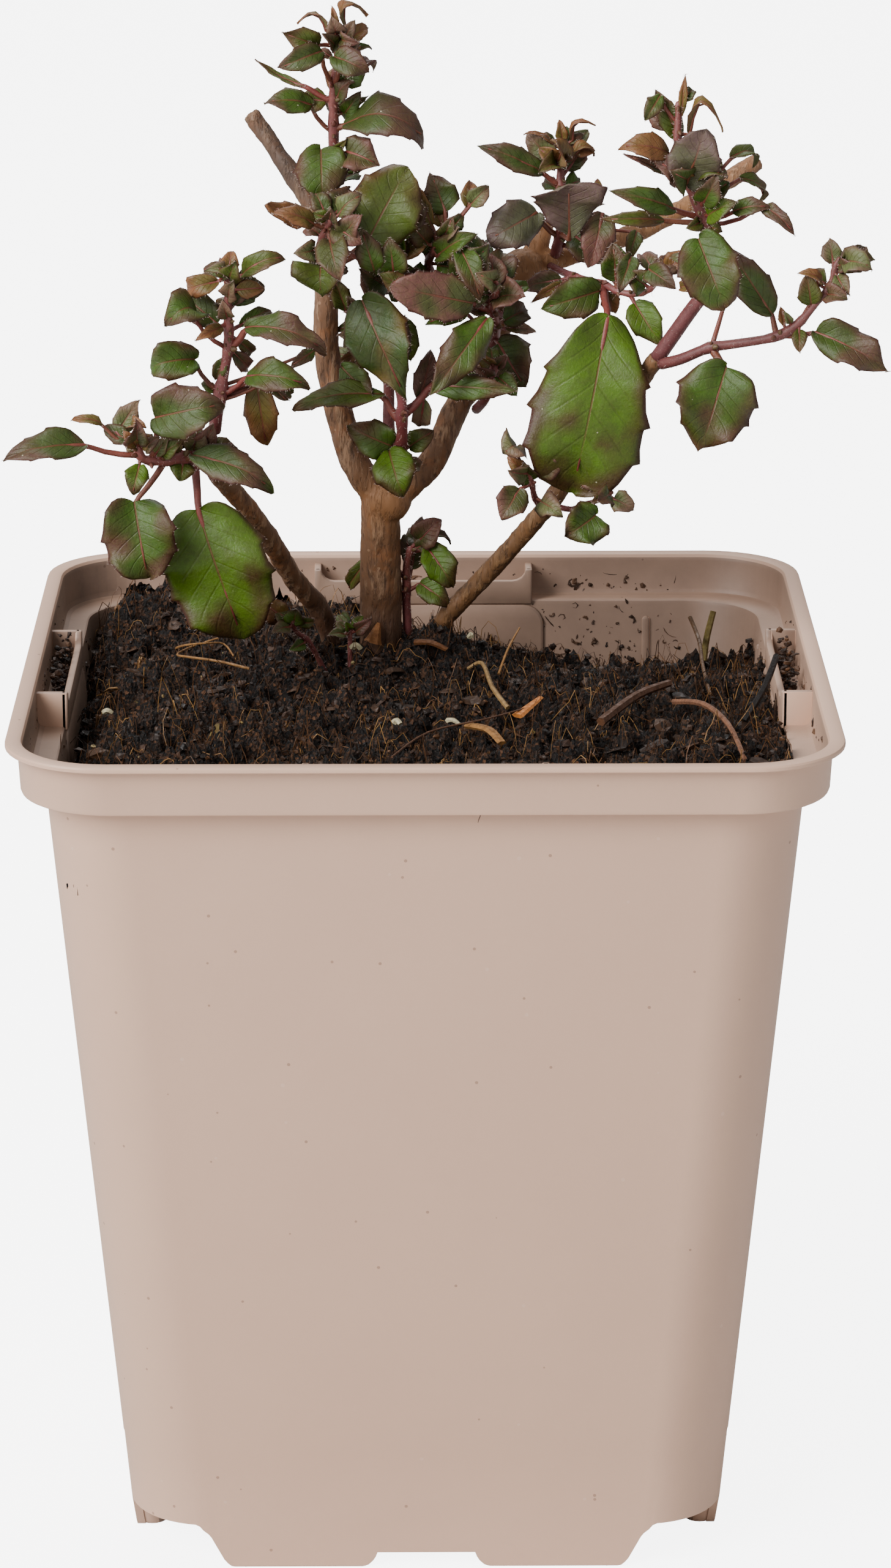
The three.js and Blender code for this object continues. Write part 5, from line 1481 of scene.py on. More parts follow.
@dataclass
class WoodyStem:
    """A woody stem with its branches, grown together as one body.

    Attributes:
        name: The node that it stands for.
        limbs: Its limbs.
        knobs: Swollen places, each a middle and three radii.
        grain: The voxel size that the limbs are fused at.
        roughness: How far the bark stands up and sinks in.
        patches: Places with other bark, each a middle, how far it reaches, and its colour; the golden ones
            also hold painted light, the grey one painted shade.
        fresh: The colour of cut wood.
    """

    name: str
    limbs: tuple[Limb, ...]
    knobs: tuple[tuple[Triple, Triple], ...] = ()
    grain: float = 0.22
    roughness: float = 0.2
    patches: tuple[tuple[Triple, float, Colour], ...] = ()
    fresh: Colour = srgb(176, 132, 104)

    SIDES = 16
    CUT_REACH = 1.6
    CUT_FACING = 0.75
    PATCH_STRENGTH = 0.8

    def build(self, material: Material) -> Piece:
        """Builds the stem and lets it stand for its node.

        Args:
            material: Its bark.

        Returns:
            The stem's object.
        """
        pieces = [self._limb(limb) for limb in self.limbs]
        pieces += [self._knob(*knob) for knob in self.knobs]
        piece = join(pieces, f"{self.name}_wood")
        apply_modifier(piece, "REMESH", mode="VOXEL", voxel_size=self.grain * MM, use_smooth_shade=True)
        apply_modifier(piece, "SMOOTH", factor=0.6, iterations=6)
        self._bark(piece)
        coat(piece, material)
        activate(piece)
        bpy.ops.object.shade_smooth()
        settle(piece, "bark", self.name)
        return piece

    def _limb(self, limb: Limb) -> Piece:
        """Returns a limb as a tube with closed ends, extruded ring by ring."""
        rings = tube_rings(*limb.run.line(), self.SIDES)
        return extrude_rings("limb", [[world_point(point) for point in ring] for ring in rings])

    def _knob(self, at: Triple, radii: Triple) -> Piece:
        """Returns a swollen place."""
        clear_selection()
        bpy.ops.mesh.primitive_uv_sphere_add(segments=20, ring_count=12, radius=1)
        knob = bpy.context.object
        place = Matrix.Translation(world_point(at)) @ Matrix.Diagonal((*(r * MM for r in radii), 1))
        knob.data.transform(place)
        return knob

    def _bark(self, piece: Piece) -> None:
        """Raises the bark along the wood, and marks the pruning cuts with fresh wood."""
        mesh = piece.data
        layer = mesh.color_attributes.new("tint", "FLOAT_COLOR", "POINT")
        mesh.update()
        normals = [vertex.normal.copy() for vertex in mesh.vertices]
        cuts = [
            (world_point(end), (Vector(end) - Vector(before)).normalized(), limb.run.radii[1] * MM)
            for limb in self.limbs if limb.cut for before, end in [limb.run.points[-2:]]
        ]
        for index, vertex in enumerate(mesh.vertices):
            place = vertex.co / MM
            strip = Vector((place.x, place.y, place.z * 0.3))
            rise = noise.fractal(strip * 0.9, 0.7, 2.1, 4) * 0.6 + noise.noise(place * 0.35) * 0.5
            alpha, colour = self._patch(vertex.co)
            for end, aim, radius in cuts:
                near = (vertex.co - end).length < radius * self.CUT_REACH
                if near and normals[index].dot(aim) > self.CUT_FACING:
                    colour, alpha = self.fresh, 1.0
                    rise = 0.2 * rise - 0.6
            vertex.co += normals[index] * rise * self.roughness * MM
            layer.data[index].color = (*colour[:3], alpha)

    def _patch(self, place: Vector) -> tuple[float, Colour]:
        """Returns how strongly a patch shows at a place in the frame, and its colour."""
        shown = [
            (self.PATCH_STRENGTH * bell((place - world_point(at)).length / MM / reach), tint)
            for at, reach, tint in self.patches
        ]
        return max(shown, default=(0.0, self.fresh))


SMOOTH_BARK = (srgb(100, 68, 38), srgb(142, 108, 72), srgb(120, 80, 44))
# Golden young bark, made lighter still as painted light where the leaves shade the branch and the knob.
GOLDEN_BARK_AND_LIGHT = srgb(156, 108, 66)
# Grey-brown bark of the cut stub, darkened as painted shade where the key light falls strongly.
GREY_BARK_AND_SHADE = srgb(58, 45, 37)
# Darker bark where the stems meet the soil.
DARK_BARK_AT_SOIL = srgb(62, 38, 24)
WOODY_STEMS = (
    WoodyStem(
        "main_stem",
        (
            Limb(Run((
                (-5, 13, 60), (-5, 12.5, 96.5), (-5, 12, 102), (-5, 11, 108.5), (-5, 10, 114.5),
            ), (2.5, 2.3))),
            Limb(Run((
                (-5, 10, 113), (-7, 10, 116), (-8.5, 10, 119), (-10, 10, 125), (-11, 10, 130.5),
                (-11, 9.5, 136), (-11, 9.5, 140.5), (-10.5, 10, 144.6),
            ), (1.8, 1.2))),
            Limb(Run((
                (-10.5, 10, 144), (-15, 13, 150.5), (-19.5, 16, 156.5),
            ), (1.15, 0.98)), cut=True),
            Limb(Run((
                (-4.5, 10, 113), (-1.5, 10.5, 115), (1, 11, 117.5), (4, 12, 124), (7, 13.5, 128),
                (8.5, 14.5, 131.5), (9.5, 15.5, 135), (11, 16.5, 138.5), (15, 17.5, 139.5),
                (22, 18.5, 141.5), (28, 19.5, 144), (35, 21, 148), (38.5, 22, 150),
            ), (1.7, 1.0)), cut=True),
            Limb(Run((
                (11, 16.5, 137.5), (13, 18, 141), (14, 19, 143.5),
            ), (1.5, 1.1)), cut=True),
            Limb(Run((
                (-11, 9.5, 141), (-11, 8, 143), (-10.8, 6.6, 146.2),
            ), (1.1, 0.85)), cut=True),
        ),
        knobs=(((-4.3, 10, 113.2), (2.9, 2.5, 2.8)), ((11.2, 15.5, 138.8), (2.5, 2.1, 2.3))),
        patches=(
            ((16, 17.5, 140), 9.0, GOLDEN_BARK_AND_LIGHT), ((29, 19.5, 144.5), 8.0, GOLDEN_BARK_AND_LIGHT),
            ((-4.3, 8, 113.5), 3.4, GOLDEN_BARK_AND_LIGHT), ((-16, 13.5, 151.5), 8.5, GREY_BARK_AND_SHADE),
            ((-5, 11, 96), 5.5, DARK_BARK_AT_SOIL),
        ),
    ),
    WoodyStem(
        "left_stem",
        (
            Limb(Run((
                (-9.6, 14.2, 80), (-11, 12, 97), (-15, 8, 104.5), (-19.5, 1, 114), (-23.5, -3, 120),
                (-24, -4.5, 124),
            ), (1.3, 1.08))),
        ),
        patches=(((-11, 12, 97), 7.0, DARK_BARK_AT_SOIL),),
    ),
    WoodyStem(
        "right_stem",
        (
            Limb(Run((
                (0.2, 13.6, 80), (0.6, 13, 94), (2, 12, 98), (6.5, 10, 103.5), (11, 7, 109.5),
                (13.5, 5, 113), (18.5, 3, 120.5), (22.5, 1.5, 126.5), (26, -0.5, 132),
            ), (1.18, 1.0))),
        ),
    ),
)


def extrude_rings(name: str, rings: Sequence[Sequence[Vector]]) -> Piece:
    """Models a closed skin by extruding a ring from place to place.

    Args:
        name: The object's name.
        rings: Rings of points in metres, each with the same number.

    Returns:
        The object, with a face over each end.
    """
    clear_selection()
    bpy.ops.mesh.primitive_circle_add(vertices=len(rings[0]), fill_type="NGON")
    piece = bpy.context.object
    piece.name = name
    for vertex, point in zip(piece.data.vertices, rings[0]):
        vertex.co = point
    bpy.ops.object.mode_set(mode="EDIT")
    bpy.ops.mesh.select_all(action="SELECT")
    for before, ring in zip(rings, rings[1:]):
        bpy.ops.mesh.extrude_region_move()
        edit = bmesh.from_edit_mesh(piece.data)
        for vertex in [vertex for vertex in edit.verts if vertex.select]:
            gaps = [(point - vertex.co).length_squared for point in before]
            vertex.co = ring[gaps.index(min(gaps))]
        bmesh.update_edit_mesh(piece.data)
    end_edit()
    return piece


# ---------------------------------------------------------------- pot


@dataclass
class NurseryPot:
    """The square pot: one moulding with a tapered body, a skirt, a lip, feet and label pockets."""

    height: float = 98.0
    lip_side: float = 90.0
    lip_radius: float = 10.75
    lip_thickness: float = 0.7
    skirt_side: float = 87.4
    skirt_radius: float = 10.0
    shoulder: float = 92.1
    shoulder_side: float = 81.8
    base_side: float = 67.2
    body_radius: float = 9.2
    wall: float = 0.95
    skirt_wall: float = 0.6
    floor: float = 5.4
    floor_thickness: float = 1.0
    corner_steps: int = 12
    foot_half: tuple[tuple[float, float], ...] = (
        (-0.5, 21.2), (0.0, 21.6), (0.15, 22.0), (0.5, 22.4), (1.0, 22.8),
        (3.8, 24.2), (4.2, 24.5), (4.7, 25.1), (5.2, 25.5), (5.4, 26.0),
    )
    notch: tuple[tuple[float, float], ...] = (
        (7.6, -0.5), (7.2, 0.0), (6.5, 0.3), (6.0, 0.8), (5.7, 1.3), (5.5, 1.85),
    )
    notch_depth: float = 8.0
    notch_from: float = 2.2
    slot_offset: float = 9.0
    slot_half: float = 1.7
    slot_length: float = 12.0
    slot_heights: tuple[float, float] = (4.0, 8.0)
    curl_radius: float = 1.7
    curl_wall: float = 0.9
    mould_line: float = 14.0
    pocket_half: float = 13.15
    pocket_face: float = 39.6
    pocket_wall: float = 0.8
    pocket_heights: tuple[float, float] = (-0.4, 3.9)
    panel_half: float = 14.6
    panel_height: float = 29.0
    panel_corner: float = 2.5
    rib_offset: float = 27.0
    rib_half: float = 0.5
    rib_height: float = 20.0
    rib_corner: float = 0.48

    def body_side(self, z: float) -> float:
        """Returns the body's outer width at a height."""
        share = (z - self.floor) / (self.shoulder - self.floor)
        return self.base_side + (self.shoulder_side - self.base_side) * share

    def inner_face(self, z: float) -> float:
        """Returns how far the walls' inner faces are from the middle at a height."""
        if z > self.shoulder + self.wall:
            return self.skirt_side / 2 - self.skirt_wall
        return self.body_side(z) / 2 - self.wall

    def room(self, z: float) -> tuple[float, float]:
        """Returns half the width inside the walls at a height, and the corners' radius there."""
        if z > self.shoulder + self.wall:
            return self.skirt_side / 2 - self.wall, self.skirt_radius - self.wall
        return self.body_side(z) / 2 - self.wall, self.body_radius - self.wall

    def ring(self, z: float, side: float, radius: float) -> list[Vector]:
        """Returns a square with round corners at a height, in metres."""
        points = []
        for turn in SIDE_TURNS:
            corner = turn + math.pi / 4
            reach = (side / 2 - radius) * math.sqrt(2)
            for step in range(self.corner_steps + 1):
                angle = turn + step / self.corner_steps * math.pi / 2
                x = reach * math.cos(corner) + radius * math.cos(angle)
                y = reach * math.sin(corner) + radius * math.sin(angle)
                points.append(world_point((x, y, z)))
        return points

    def profile(self) -> list[Triple]:
        """Returns the wall's section as rings, each a height, a width and a corner radius.

        They run from under the floor, round the foot and over the lip to the top of the floor.
        """
        wall2 = 2 * self.wall
        body = self.body_side
        radius = self.body_radius
        inner = radius - self.wall
        ledge = self.shoulder + self.wall
        under_lip = self.height - self.lip_thickness
        skirt, skirt_r = self.skirt_side, self.skirt_radius
        lip, lip_r = self.lip_side, self.lip_radius
        bore, bore_r = skirt - 2 * self.skirt_wall, skirt_r - self.skirt_wall
        mould_line = self.mould_line
        return [
            (self.floor, body(5) - wall2 - 1.0, inner - 0.5),
            (self.floor - 0.5, body(5) - wall2, inner),
            (0.15, body(0) - wall2, inner),
            (0.0, body(0) - wall2 + 0.3, inner),
            (0.0, body(0) - 0.3, radius),
            (0.15, body(0), radius),
            (mould_line - 0.1, body(mould_line) - 0.1, radius),
            (mould_line + 0.1, body(mould_line) + 0.06, radius),
            (self.shoulder - 0.5, body(self.shoulder - 0.5), radius),
            (self.shoulder - 0.12, self.shoulder_side + 0.12, radius + 0.05),
            (self.shoulder, self.shoulder_side + 0.6, radius + 0.1),
            (self.shoulder, skirt - 1.4, skirt_r - 0.5),
            (self.shoulder + 0.15, skirt - 0.75, skirt_r - 0.1),
            (self.shoulder + 0.5, skirt - 0.45, skirt_r),
            (under_lip - 0.4, skirt, skirt_r),
            (under_lip, skirt + 0.5, skirt_r + 0.2),
            (under_lip, lip - 0.35, lip_r - 0.1),
            (under_lip + 0.12, lip - 0.05, lip_r),
            (self.height - 0.25, lip, lip_r),
            (self.height - 0.06, lip - 0.2, lip_r - 0.05),
            (self.height, lip - 0.6, lip_r - 0.2),
            (self.height, bore + 1.0, bore_r + 0.4),
            (self.height - 0.12, bore + 0.45, bore_r + 0.2),
            (self.height - 0.45, bore + 0.1, bore_r),
            (self.height - 0.9, bore, bore_r),
            (ledge + 0.7, bore - 0.2, bore_r),
            (ledge + 0.2, bore - 0.7, bore_r - 0.2),
            (ledge, bore - 1.7, bore_r - 0.6),
            (ledge, self.shoulder_side - wall2 + 0.6, inner + 0.2),
            (ledge - 0.12, self.shoulder_side - wall2 + 0.2, inner),
            (ledge - 0.5, self.shoulder_side - wall2, inner),
            (self.floor + self.floor_thickness + 0.6, body(6.5) - wall2, inner),
            (self.floor + self.floor_thickness, body(6.5) - wall2 - 1.2, inner - 0.5),
        ]

    def build(self, material: Material) -> Piece:
        """Builds the pot and lets it stand for its node.

        Args:
            material: The moulded plastic.

        Returns:
            The pot's object.
        """
        shell = extrude_rings("pot_moulding", [self.ring(*row) for row in self.profile()])
        for cutter in [*self._corner_cutters(), *self._side_cutters()]:
            apply_modifier(shell, "BOOLEAN", operation="DIFFERENCE", object=cutter, solver="EXACT")
            bpy.data.objects.remove(cutter)
        pieces = [shell]
        for turn in SIDE_TURNS:
            for fitting in self._fittings():
                fitting.data.transform(self._turn(turn))
                pieces.append(fitting)
        pot = join(pieces, "pot_moulding")
        coat(pot, material)
        self._mark_inside(pot)
        activate(pot)
        bpy.ops.object.shade_smooth_by_angle(angle=math.radians(34))
        settle(pot, "pot_plastic", "pot")
        return pot

    def _mark_inside(self, pot: Piece) -> None:
        """Marks the faces that look inwards, with how much soil film and painted shade they get."""
        mesh = pot.data
        layer = mesh.color_attributes.new("inner", "FLOAT_COLOR", "CORNER")
        top = (self.height - 0.3) * MM
        for face in mesh.polygons:
            out = face.center - world_point((0, 0, 0))
            inwards = face.normal.x * out.x + face.normal.y * out.y < 0 or face.normal.z > 0.7
            share = self._film_and_shade_share(face.normal) if inwards and face.center.z < top else 0.0
            for corner in face.loop_indices:
                layer.data[corner].color = (share, share, share, 1.0)

    @staticmethod
    def _film_and_shade_share(normal: Vector) -> float:
        """Returns how much soil film and painted shade an inner face gets: most on the left wall, then the
        back wall, least on the front and right walls.
        """
        # Painted shade: the share follows the way a face looks, as the light inside the pot does, on top of
        # a soil film.
        return 0.55 + 0.2 * max(0.0, -normal.y) + 0.38 * max(0.0, normal.x)

    def _turn(self, angle: float) -> Matrix:
        """Returns a turn about the pot's upright middle line."""
        middle = world_point((0, 0, 0))
        return Matrix.Translation(middle) @ Matrix.Rotation(angle, 4, "Z") @ Matrix.Translation(-middle)

    def _corner_cutters(self) -> list[Piece]:
        """Returns four blocks that open the corners between the feet."""
        cutters = []
        far = self.lip_side / 2
        for turn in SIDE_TURNS:
            rings = []
            for z, near in self.foot_half:
                corners = ((near, near), (far, near), (far, far), (near, far))
                rings.append([world_point((x, y, z)) for x, y in corners])
            cutter = extrude_rings("cutter", rings)
            cutter.data.transform(self._turn(turn))
            cutters.append(cutter)
        return cutters

    def _side_cutters(self) -> list[Piece]:
        """Returns the blocks that cut a notch into each foot, and the drain slots beside them."""
        cutters = []
        outline = [*self.notch, *((-x, z) for x, z in reversed(self.notch))]
        for turn in SIDE_TURNS:
            blocks = [self._plate(outline, self.base_side / 2 - self.notch_from, self.notch_depth)]
            for x in (-self.slot_offset, self.slot_offset):
                slot = self._box(x - self.slot_half, x + self.slot_half, *self.slot_heights)
                blocks.append(self._plate(slot, self.slot_offset, self.slot_length))
            for block in blocks:
                block.data.transform(self._turn(turn))
            cutters.extend(blocks)
        return cutters

    @staticmethod
    def _box(left: float, right: float, low: float, high: float) -> list[tuple[float, float]]:
        """Returns a rectangle's corners in x and z."""
        return [(left, low), (right, low), (right, high), (left, high)]

    def _plate(self, outline: Sequence[tuple[float, float]], start: float, depth: float,
               bevel: float = 0.0, lean: float = 0.0, top: float = 0.0) -> Piece:
        """Extrudes an outline drawn in x and z along y, on the pot's far side.

        Args:
            outline: Its corners, in turn.
            start: The y that it starts from.
            depth: How thick it is.
            bevel: How far its edges are rounded.
            lean: How far y moves out for each millimetre up.
            top: The height where y is as given.

        Returns:
            The plate.
        """
        rings = [
            [world_point((x, y + (z - top) * lean, z)) for x, z in outline]
            for y in (start, start + depth)
        ]
        plate = extrude_rings("plate", rings)
        if bevel:
            apply_modifier(plate, "BEVEL", width=bevel * MM, segments=2, limit_method="ANGLE")
        return plate

    def _fittings(self) -> list[Piece]:
        """Returns what stands on the far side: the label pocket, a panel, two ribs, foot curls."""
        return [*self._pocket(), *self._strips(), *self._foot_curls()]

    def _pocket(self) -> list[Piece]:
        """Returns the far wall's label pocket: its face, then its two cheeks."""
        half, face, thick = self.pocket_half, self.pocket_face, self.pocket_wall
        low, high = (self.shoulder + self.wall + rise for rise in self.pocket_heights)
        dip = [
            (half - thick - 1.6 * (1 - math.cos(turn)), high - 1.4 * math.sin(turn))
            for turn in (0.0, 0.4, 0.8, 1.2, 1.57)
        ]
        right = [(half, low), (half, high), *dip]
        plates = [self._plate([*right, *((-x, z) for x, z in reversed(right))], face, thick, 0.18)]
        depth = self.skirt_side / 2 - self.wall - face + 0.2
        for left in (-half, half - thick):
            cheek = self._box(left, left + thick, low, high)
            plates.append(self._plate(cheek, face + 0.2, depth, 0.15))
        return plates

    def _strips(self) -> list[Piece]:
        """Returns the panel under the far pocket and the rib on either side of it."""
        lean = (self.shoulder_side - self.base_side) / 2 / (self.shoulder - self.floor)
        face = self.shoulder_side / 2 - self.wall
        top = self.shoulder + 0.5
        panel = self._arched(self.panel_half, 0.0, top, self.panel_height, self.panel_corner)
        strips = [self._plate(panel, face - 0.4, 1.0, 0.36, lean, self.shoulder)]
        for x in (-self.rib_offset, self.rib_offset):
            top = self.shoulder - 1.0
            rib = self._arched(self.rib_half, x, top, self.rib_height, self.rib_corner)
            strips.append(self._plate(rib, face - 0.3, 0.9, 0.28, lean, self.shoulder))
        return strips

    def _foot_curls(self) -> list[Piece]:
        """Returns the strips that the far side's foot curls inwards with at its two ends."""
        radius = self.curl_radius
        turns = [math.radians(75 - 15 * step) for step in range(10)]
        outer, inner = (
            [(reach * math.cos(turn), reach * math.sin(turn)) for turn in turns]
            for reach in (radius, radius - self.curl_wall)
        )
        plan = [*outer, *reversed(inner)]
        curls = []
        for way in (-1, 1):
            rings = []
            for z, end in self.foot_half[1:]:
                middle, depth, at = end - radius, self.body_side(z) / 2 - radius, max(z, 0.02)
                rings.append([world_point((way * (middle + x), depth + y, at)) for x, y in plan])
            curls.append(extrude_rings("curl", rings))
        return curls

    @staticmethod
    def _arched(half: float, middle: float, top: float, tall: float,
                corner: float) -> list[tuple[float, float]]:
        """Returns an upright strip's outline with round upper corners."""
        turns = [math.radians(18 * step) for step in range(6)]
        right = [
            (half - corner + corner * math.cos(turn), top - corner + corner * math.sin(turn))
            for turn in turns
        ]
        left = [(-x, z) for x, z in reversed(right)]
        return [(x + middle, z) for x, z in [(-half, top - tall), (half, top - tall), *right, *left]]


# ---------------------------------------------------------------- soil


@dataclass(frozen=True)
class Swell:
    """A soft rise of the soil's surface, or a dip where it rises by less than 0.

    Attributes:
        rise: How far it rises.
        x: Its middle, to the right.
        y: Its middle, away from the front.
        across: How far it reaches to the sides.
        back: How far it reaches to front and back, where that differs.
    """

    rise: float
    x: float
    y: float
    across: float
    back: float = 0.0

    def height(self, x: float, y: float) -> float:
        """Returns how far it lifts the surface at a place."""
        off_y = (y - self.y) / (self.back or self.across)
        return self.rise * bell(math.hypot((x - self.x) / self.across, off_y))


@dataclass
class Soil:
    """The potting mix: its filled volume, and the crumbs, chips, fibres and roots on it.

    Attributes:
        pot: The pot that it fills.
        level: The surface's height without swells.
        swells: The mound round the stems, the heap and the hollow at the back, then clumps.
        wall_gap: How deep the gap at the left wall is, and how far it reaches.
        waves: How fast the surface's waves run across, back, and slanting back and across.
        wave_height: How high they are.
        cells: How many cells the surface has each way.
        clearance: How far it stays from the walls.
        wall_bits: How many crumbs stick to the walls.
    """

    pot: NurseryPot
    level: float = 93.4
    swells: tuple[Swell, ...] = (
        Swell(3.4, -4.0, 12.0, 15.0), Swell(2.6, -31.0, 37.0, 13.0), Swell(-8.5, 26.0, 42.0, 26.0, 24.0),
        Swell(2.4, 17.9, 25.8, 1.7), Swell(2.3, 27.3, 25.8, 1.2), Swell(2.8, 34.5, 25.5, 1.5),
        Swell(2.2, -35.8, 29.0, 2.4), Swell(1.6, 31.2, 23.6, 1.0), Swell(1.4, 22.4, 20.5, 1.3),
        Swell(1.5, -9.5, 22.0, 1.8), Swell(2.6, 1.2, 12.0, 3.0),
    )
    wall_gap: tuple[float, float] = (8.5, 4.5)
    waves: tuple[float, float, float, float] = (0.43, 0.51, 0.29, 0.37)
    wave_height: float = 0.55
    cells: int = 250
    clearance: float = 0.15
    wall_bits: int = 1300

    WALL_TINTS = (srgb(46, 31, 23), srgb(104, 76, 56))
    WALL_SHARES = (5, 2, 1, 2)
    WALL_DIRT_FROM = 86.0
    LEDGE_SHARE = 0.4
    FIBRE_SHARE = 0.12
    BIT_RINGS = (0.3, 0.8, 0.9, 0.7, 0.3)

    def base_height(self, x: float, y: float) -> float:
        """Returns the surface's height without its crumbs."""
        gap, gap_reach = self.wall_gap
        across, back, slant_back, slant_across = self.waves
        waves = math.sin(across * x + 1) * math.cos(back * y)
        waves += math.sin(slant_back * y - slant_across * x)
        off_wall = x + self.pot.room(self.pot.height)[0]
        swell = sum(swell.height(x, y) for swell in self.swells)
        return self.level + swell - gap * bell(off_wall / gap_reach) + self.wave_height * waves

    def height(self, x: float, y: float) -> float:
        """Returns the surface's height with its lumps and crumbs."""
        at = Vector((x, y, 0))
        lumps = noise.fractal(at * 0.17, 0.7, 2.2, 3) * 1.1
        clods = noise.noise(at * 0.38 + Vector((4, 9, 2))) * 1.1
        crumbs = noise.turbulence(at * 0.7, 4, False, noise_basis="BLENDER") * 1.7
        ragged = noise.fractal(at * 1.9, 0.5, 2.3, 3) * 0.6
        return self.base_height(x, y) + lumps + clods + crumbs + ragged - 1.15

    def inside(self, x: float, y: float, z: float, margin: float = 0.0) -> tuple[float, float]:
        """Moves a place in from the walls, if it lies in them, and returns its x and y.

        Args:
            x: Its x.
            y: Its y.
            z: Its height.
            margin: How far it must stay from them.

        Returns:
            Its new x and y.
        """
        half, radius = self.pot.room(z)
        half -= self.clearance + margin
        x = min(max(x, -half), half)
        y = min(max(y, -half), half)
        middle = half - radius
        over_x, over_y = abs(x) - middle, abs(y) - middle
        if over_x > 0 and over_y > 0:
            reach = math.hypot(over_x, over_y)
            if reach > radius:
                x = math.copysign(middle + over_x * radius / reach, x)
                y = math.copysign(middle + over_y * radius / reach, y)
        return x, y

    def build(self, materials: Sequence[Material]) -> list[Piece]:
        """Builds the soil and what lies in it.

        Args:
            materials: The finishes of potting mix and of litter.

        Returns:
            The soil and its litter.
        """
        mix, litter = materials
        clear_selection()
        side = 2 * self.pot.room(self.pot.height)[0] * MM
        bpy.ops.mesh.primitive_grid_add(
            x_subdivisions=self.cells, y_subdivisions=self.cells, size=side, location=world_point((0, 0, 0))
        )
        soil = bpy.context.object
        soil.name = "soil_fill"
        bpy.ops.object.transform_apply(location=True, rotation=False, scale=False)
        for vertex in soil.data.vertices:
            x, y = vertex.co.x / MM - SIDE_SHIFT, vertex.co.y / MM
            z = self.height(x, y)
            x, y = self.inside(x, y, self.pot.shoulder)
            vertex.co = world_point((x, y, z))
        self._close_below(soil)
        coat(soil, mix)
        activate(soil)
        bpy.ops.object.shade_smooth()
        settle(soil, "potting_mix", "soil")
        return [soil, *self._litter(litter)]

    def _close_below(self, soil: Piece) -> None:
        """Extrudes the surface's outline down to the pot's floor and closes it."""
        floor = self.pot.floor + self.pot.floor_thickness + self.clearance
        ledge = self.pot.shoulder + self.pot.wall + self.clearance
        below = self.pot.shoulder - 20
        begin_edit(soil)
        bpy.ops.mesh.region_to_loop()
        steps = ((ledge, None), (ledge - 0.02, self.pot.shoulder), (below, below), (floor, floor))
        for top, room_at in steps:
            bpy.ops.mesh.extrude_edges_move()
            edit = bmesh.from_edit_mesh(soil.data)
            for vertex in (v for v in edit.verts if v.select):
                x, y = vertex.co.x / MM - SIDE_SHIFT, vertex.co.y / MM
                z = min(vertex.co.z / MM - 0.01, top)
                vertex.co = world_point((*self.inside(x, y, room_at or z), z))
            bmesh.update_edit_mesh(soil.data)
        bpy.ops.mesh.edge_face_add()
        end_edit()

    def _litter(self, material: Material) -> list[Piece]:
        """Scatters litter over the surface and returns its two pieces: crumbs, then fibres."""
        crumbs, fibres = Sketch(), Sketch()
        rng = random.Random("litter")
        half = self.pot.room(self.pot.shoulder)[0]
        for kind in LITTER:
            for _ in range(kind.count):
                sketch = fibres if kind.shape is LitterShape.FIBRE else crumbs
                at = self.on_top(rng.uniform(-half, half), rng.uniform(-half, half))
                kind.draw(sketch, at, rng, self)
        for heap in POCKET_HEAPS:
            heap.draw(crumbs, rng, self)
        self._wall_dirt(fibres, rng)
        for root in ROOTS:
            root.draw(fibres)
        pieces = []
        for name, sketch in (("soil_litter", crumbs), ("soil_fibres", fibres)):
            pieces.append(sketch.mesh(name, [material], smooth=False))
        for piece in pieces:
            settle(piece, "potting_mix")
        return pieces

    def on_top(self, x: float, y: float, margin: float = 0.0) -> Vector:
        """Returns the place on the surface at x and y, moved in from the walls by a margin."""
        x, y = self.inside(x, y, self.pot.shoulder, margin)
        return Vector((x, y, self.height(x, y)))

    def _wall_dirt(self, sketch: Sketch, rng: random.Random) -> None:
        """Draws the crumbs that stick to the inside of the walls."""
        span = self.pot.room(self.pot.shoulder)[0] - self.pot.body_radius
        for _ in range(self.wall_bits):
            turn = rng.choices(SIDE_TURNS, self.WALL_SHARES)[0]
            z = self.pot.height - 1 - (self.pot.height - self.WALL_DIRT_FROM) * rng.random() ** 0.7
            if rng.random() < self.LEDGE_SHARE:
                z = self.pot.shoulder + self.pot.wall + 0.15 + 1.3 * rng.random() ** 2
            half = self.pot.inner_face(z)
            place = Vector((rng.uniform(-span, span), half - 0.02, z))
            fibre = rng.random() < self.FIBRE_SHARE
            size = rng.uniform(0.05, 0.09) if fibre else 0.07 + 0.26 * rng.random() ** 3
            length = rng.uniform(0.7, 2.4) if fibre else size * rng.uniform(1.5, 5.5)
            heading, bend = rng.uniform(0, math.tau), rng.uniform(-1.2, 1.2)
            centres = []
            for _ in self.BIT_RINGS:
                centres.append(place.copy())
                heading += bend
                place += Vector((math.cos(heading), 0, math.sin(heading))) * length / 4
            radii = [size * share * rng.uniform(0.4, 1.5) for share in self.BIT_RINGS]
            spin = Matrix.Rotation(turn, 3, "Z")
            rings = tube_rings(centres, radii, Litterbit.SIDES)
            rings = [[spin @ point for point in ring] for ring in rings]
            sketch.plain(rings, blend(*self.WALL_TINTS, rng.random()))


class LitterShape(Enum):
    """What a bit of litter looks like."""

    CRUMB = "crumb"
    CHIP = "chip"
    FIBRE = "fibre"


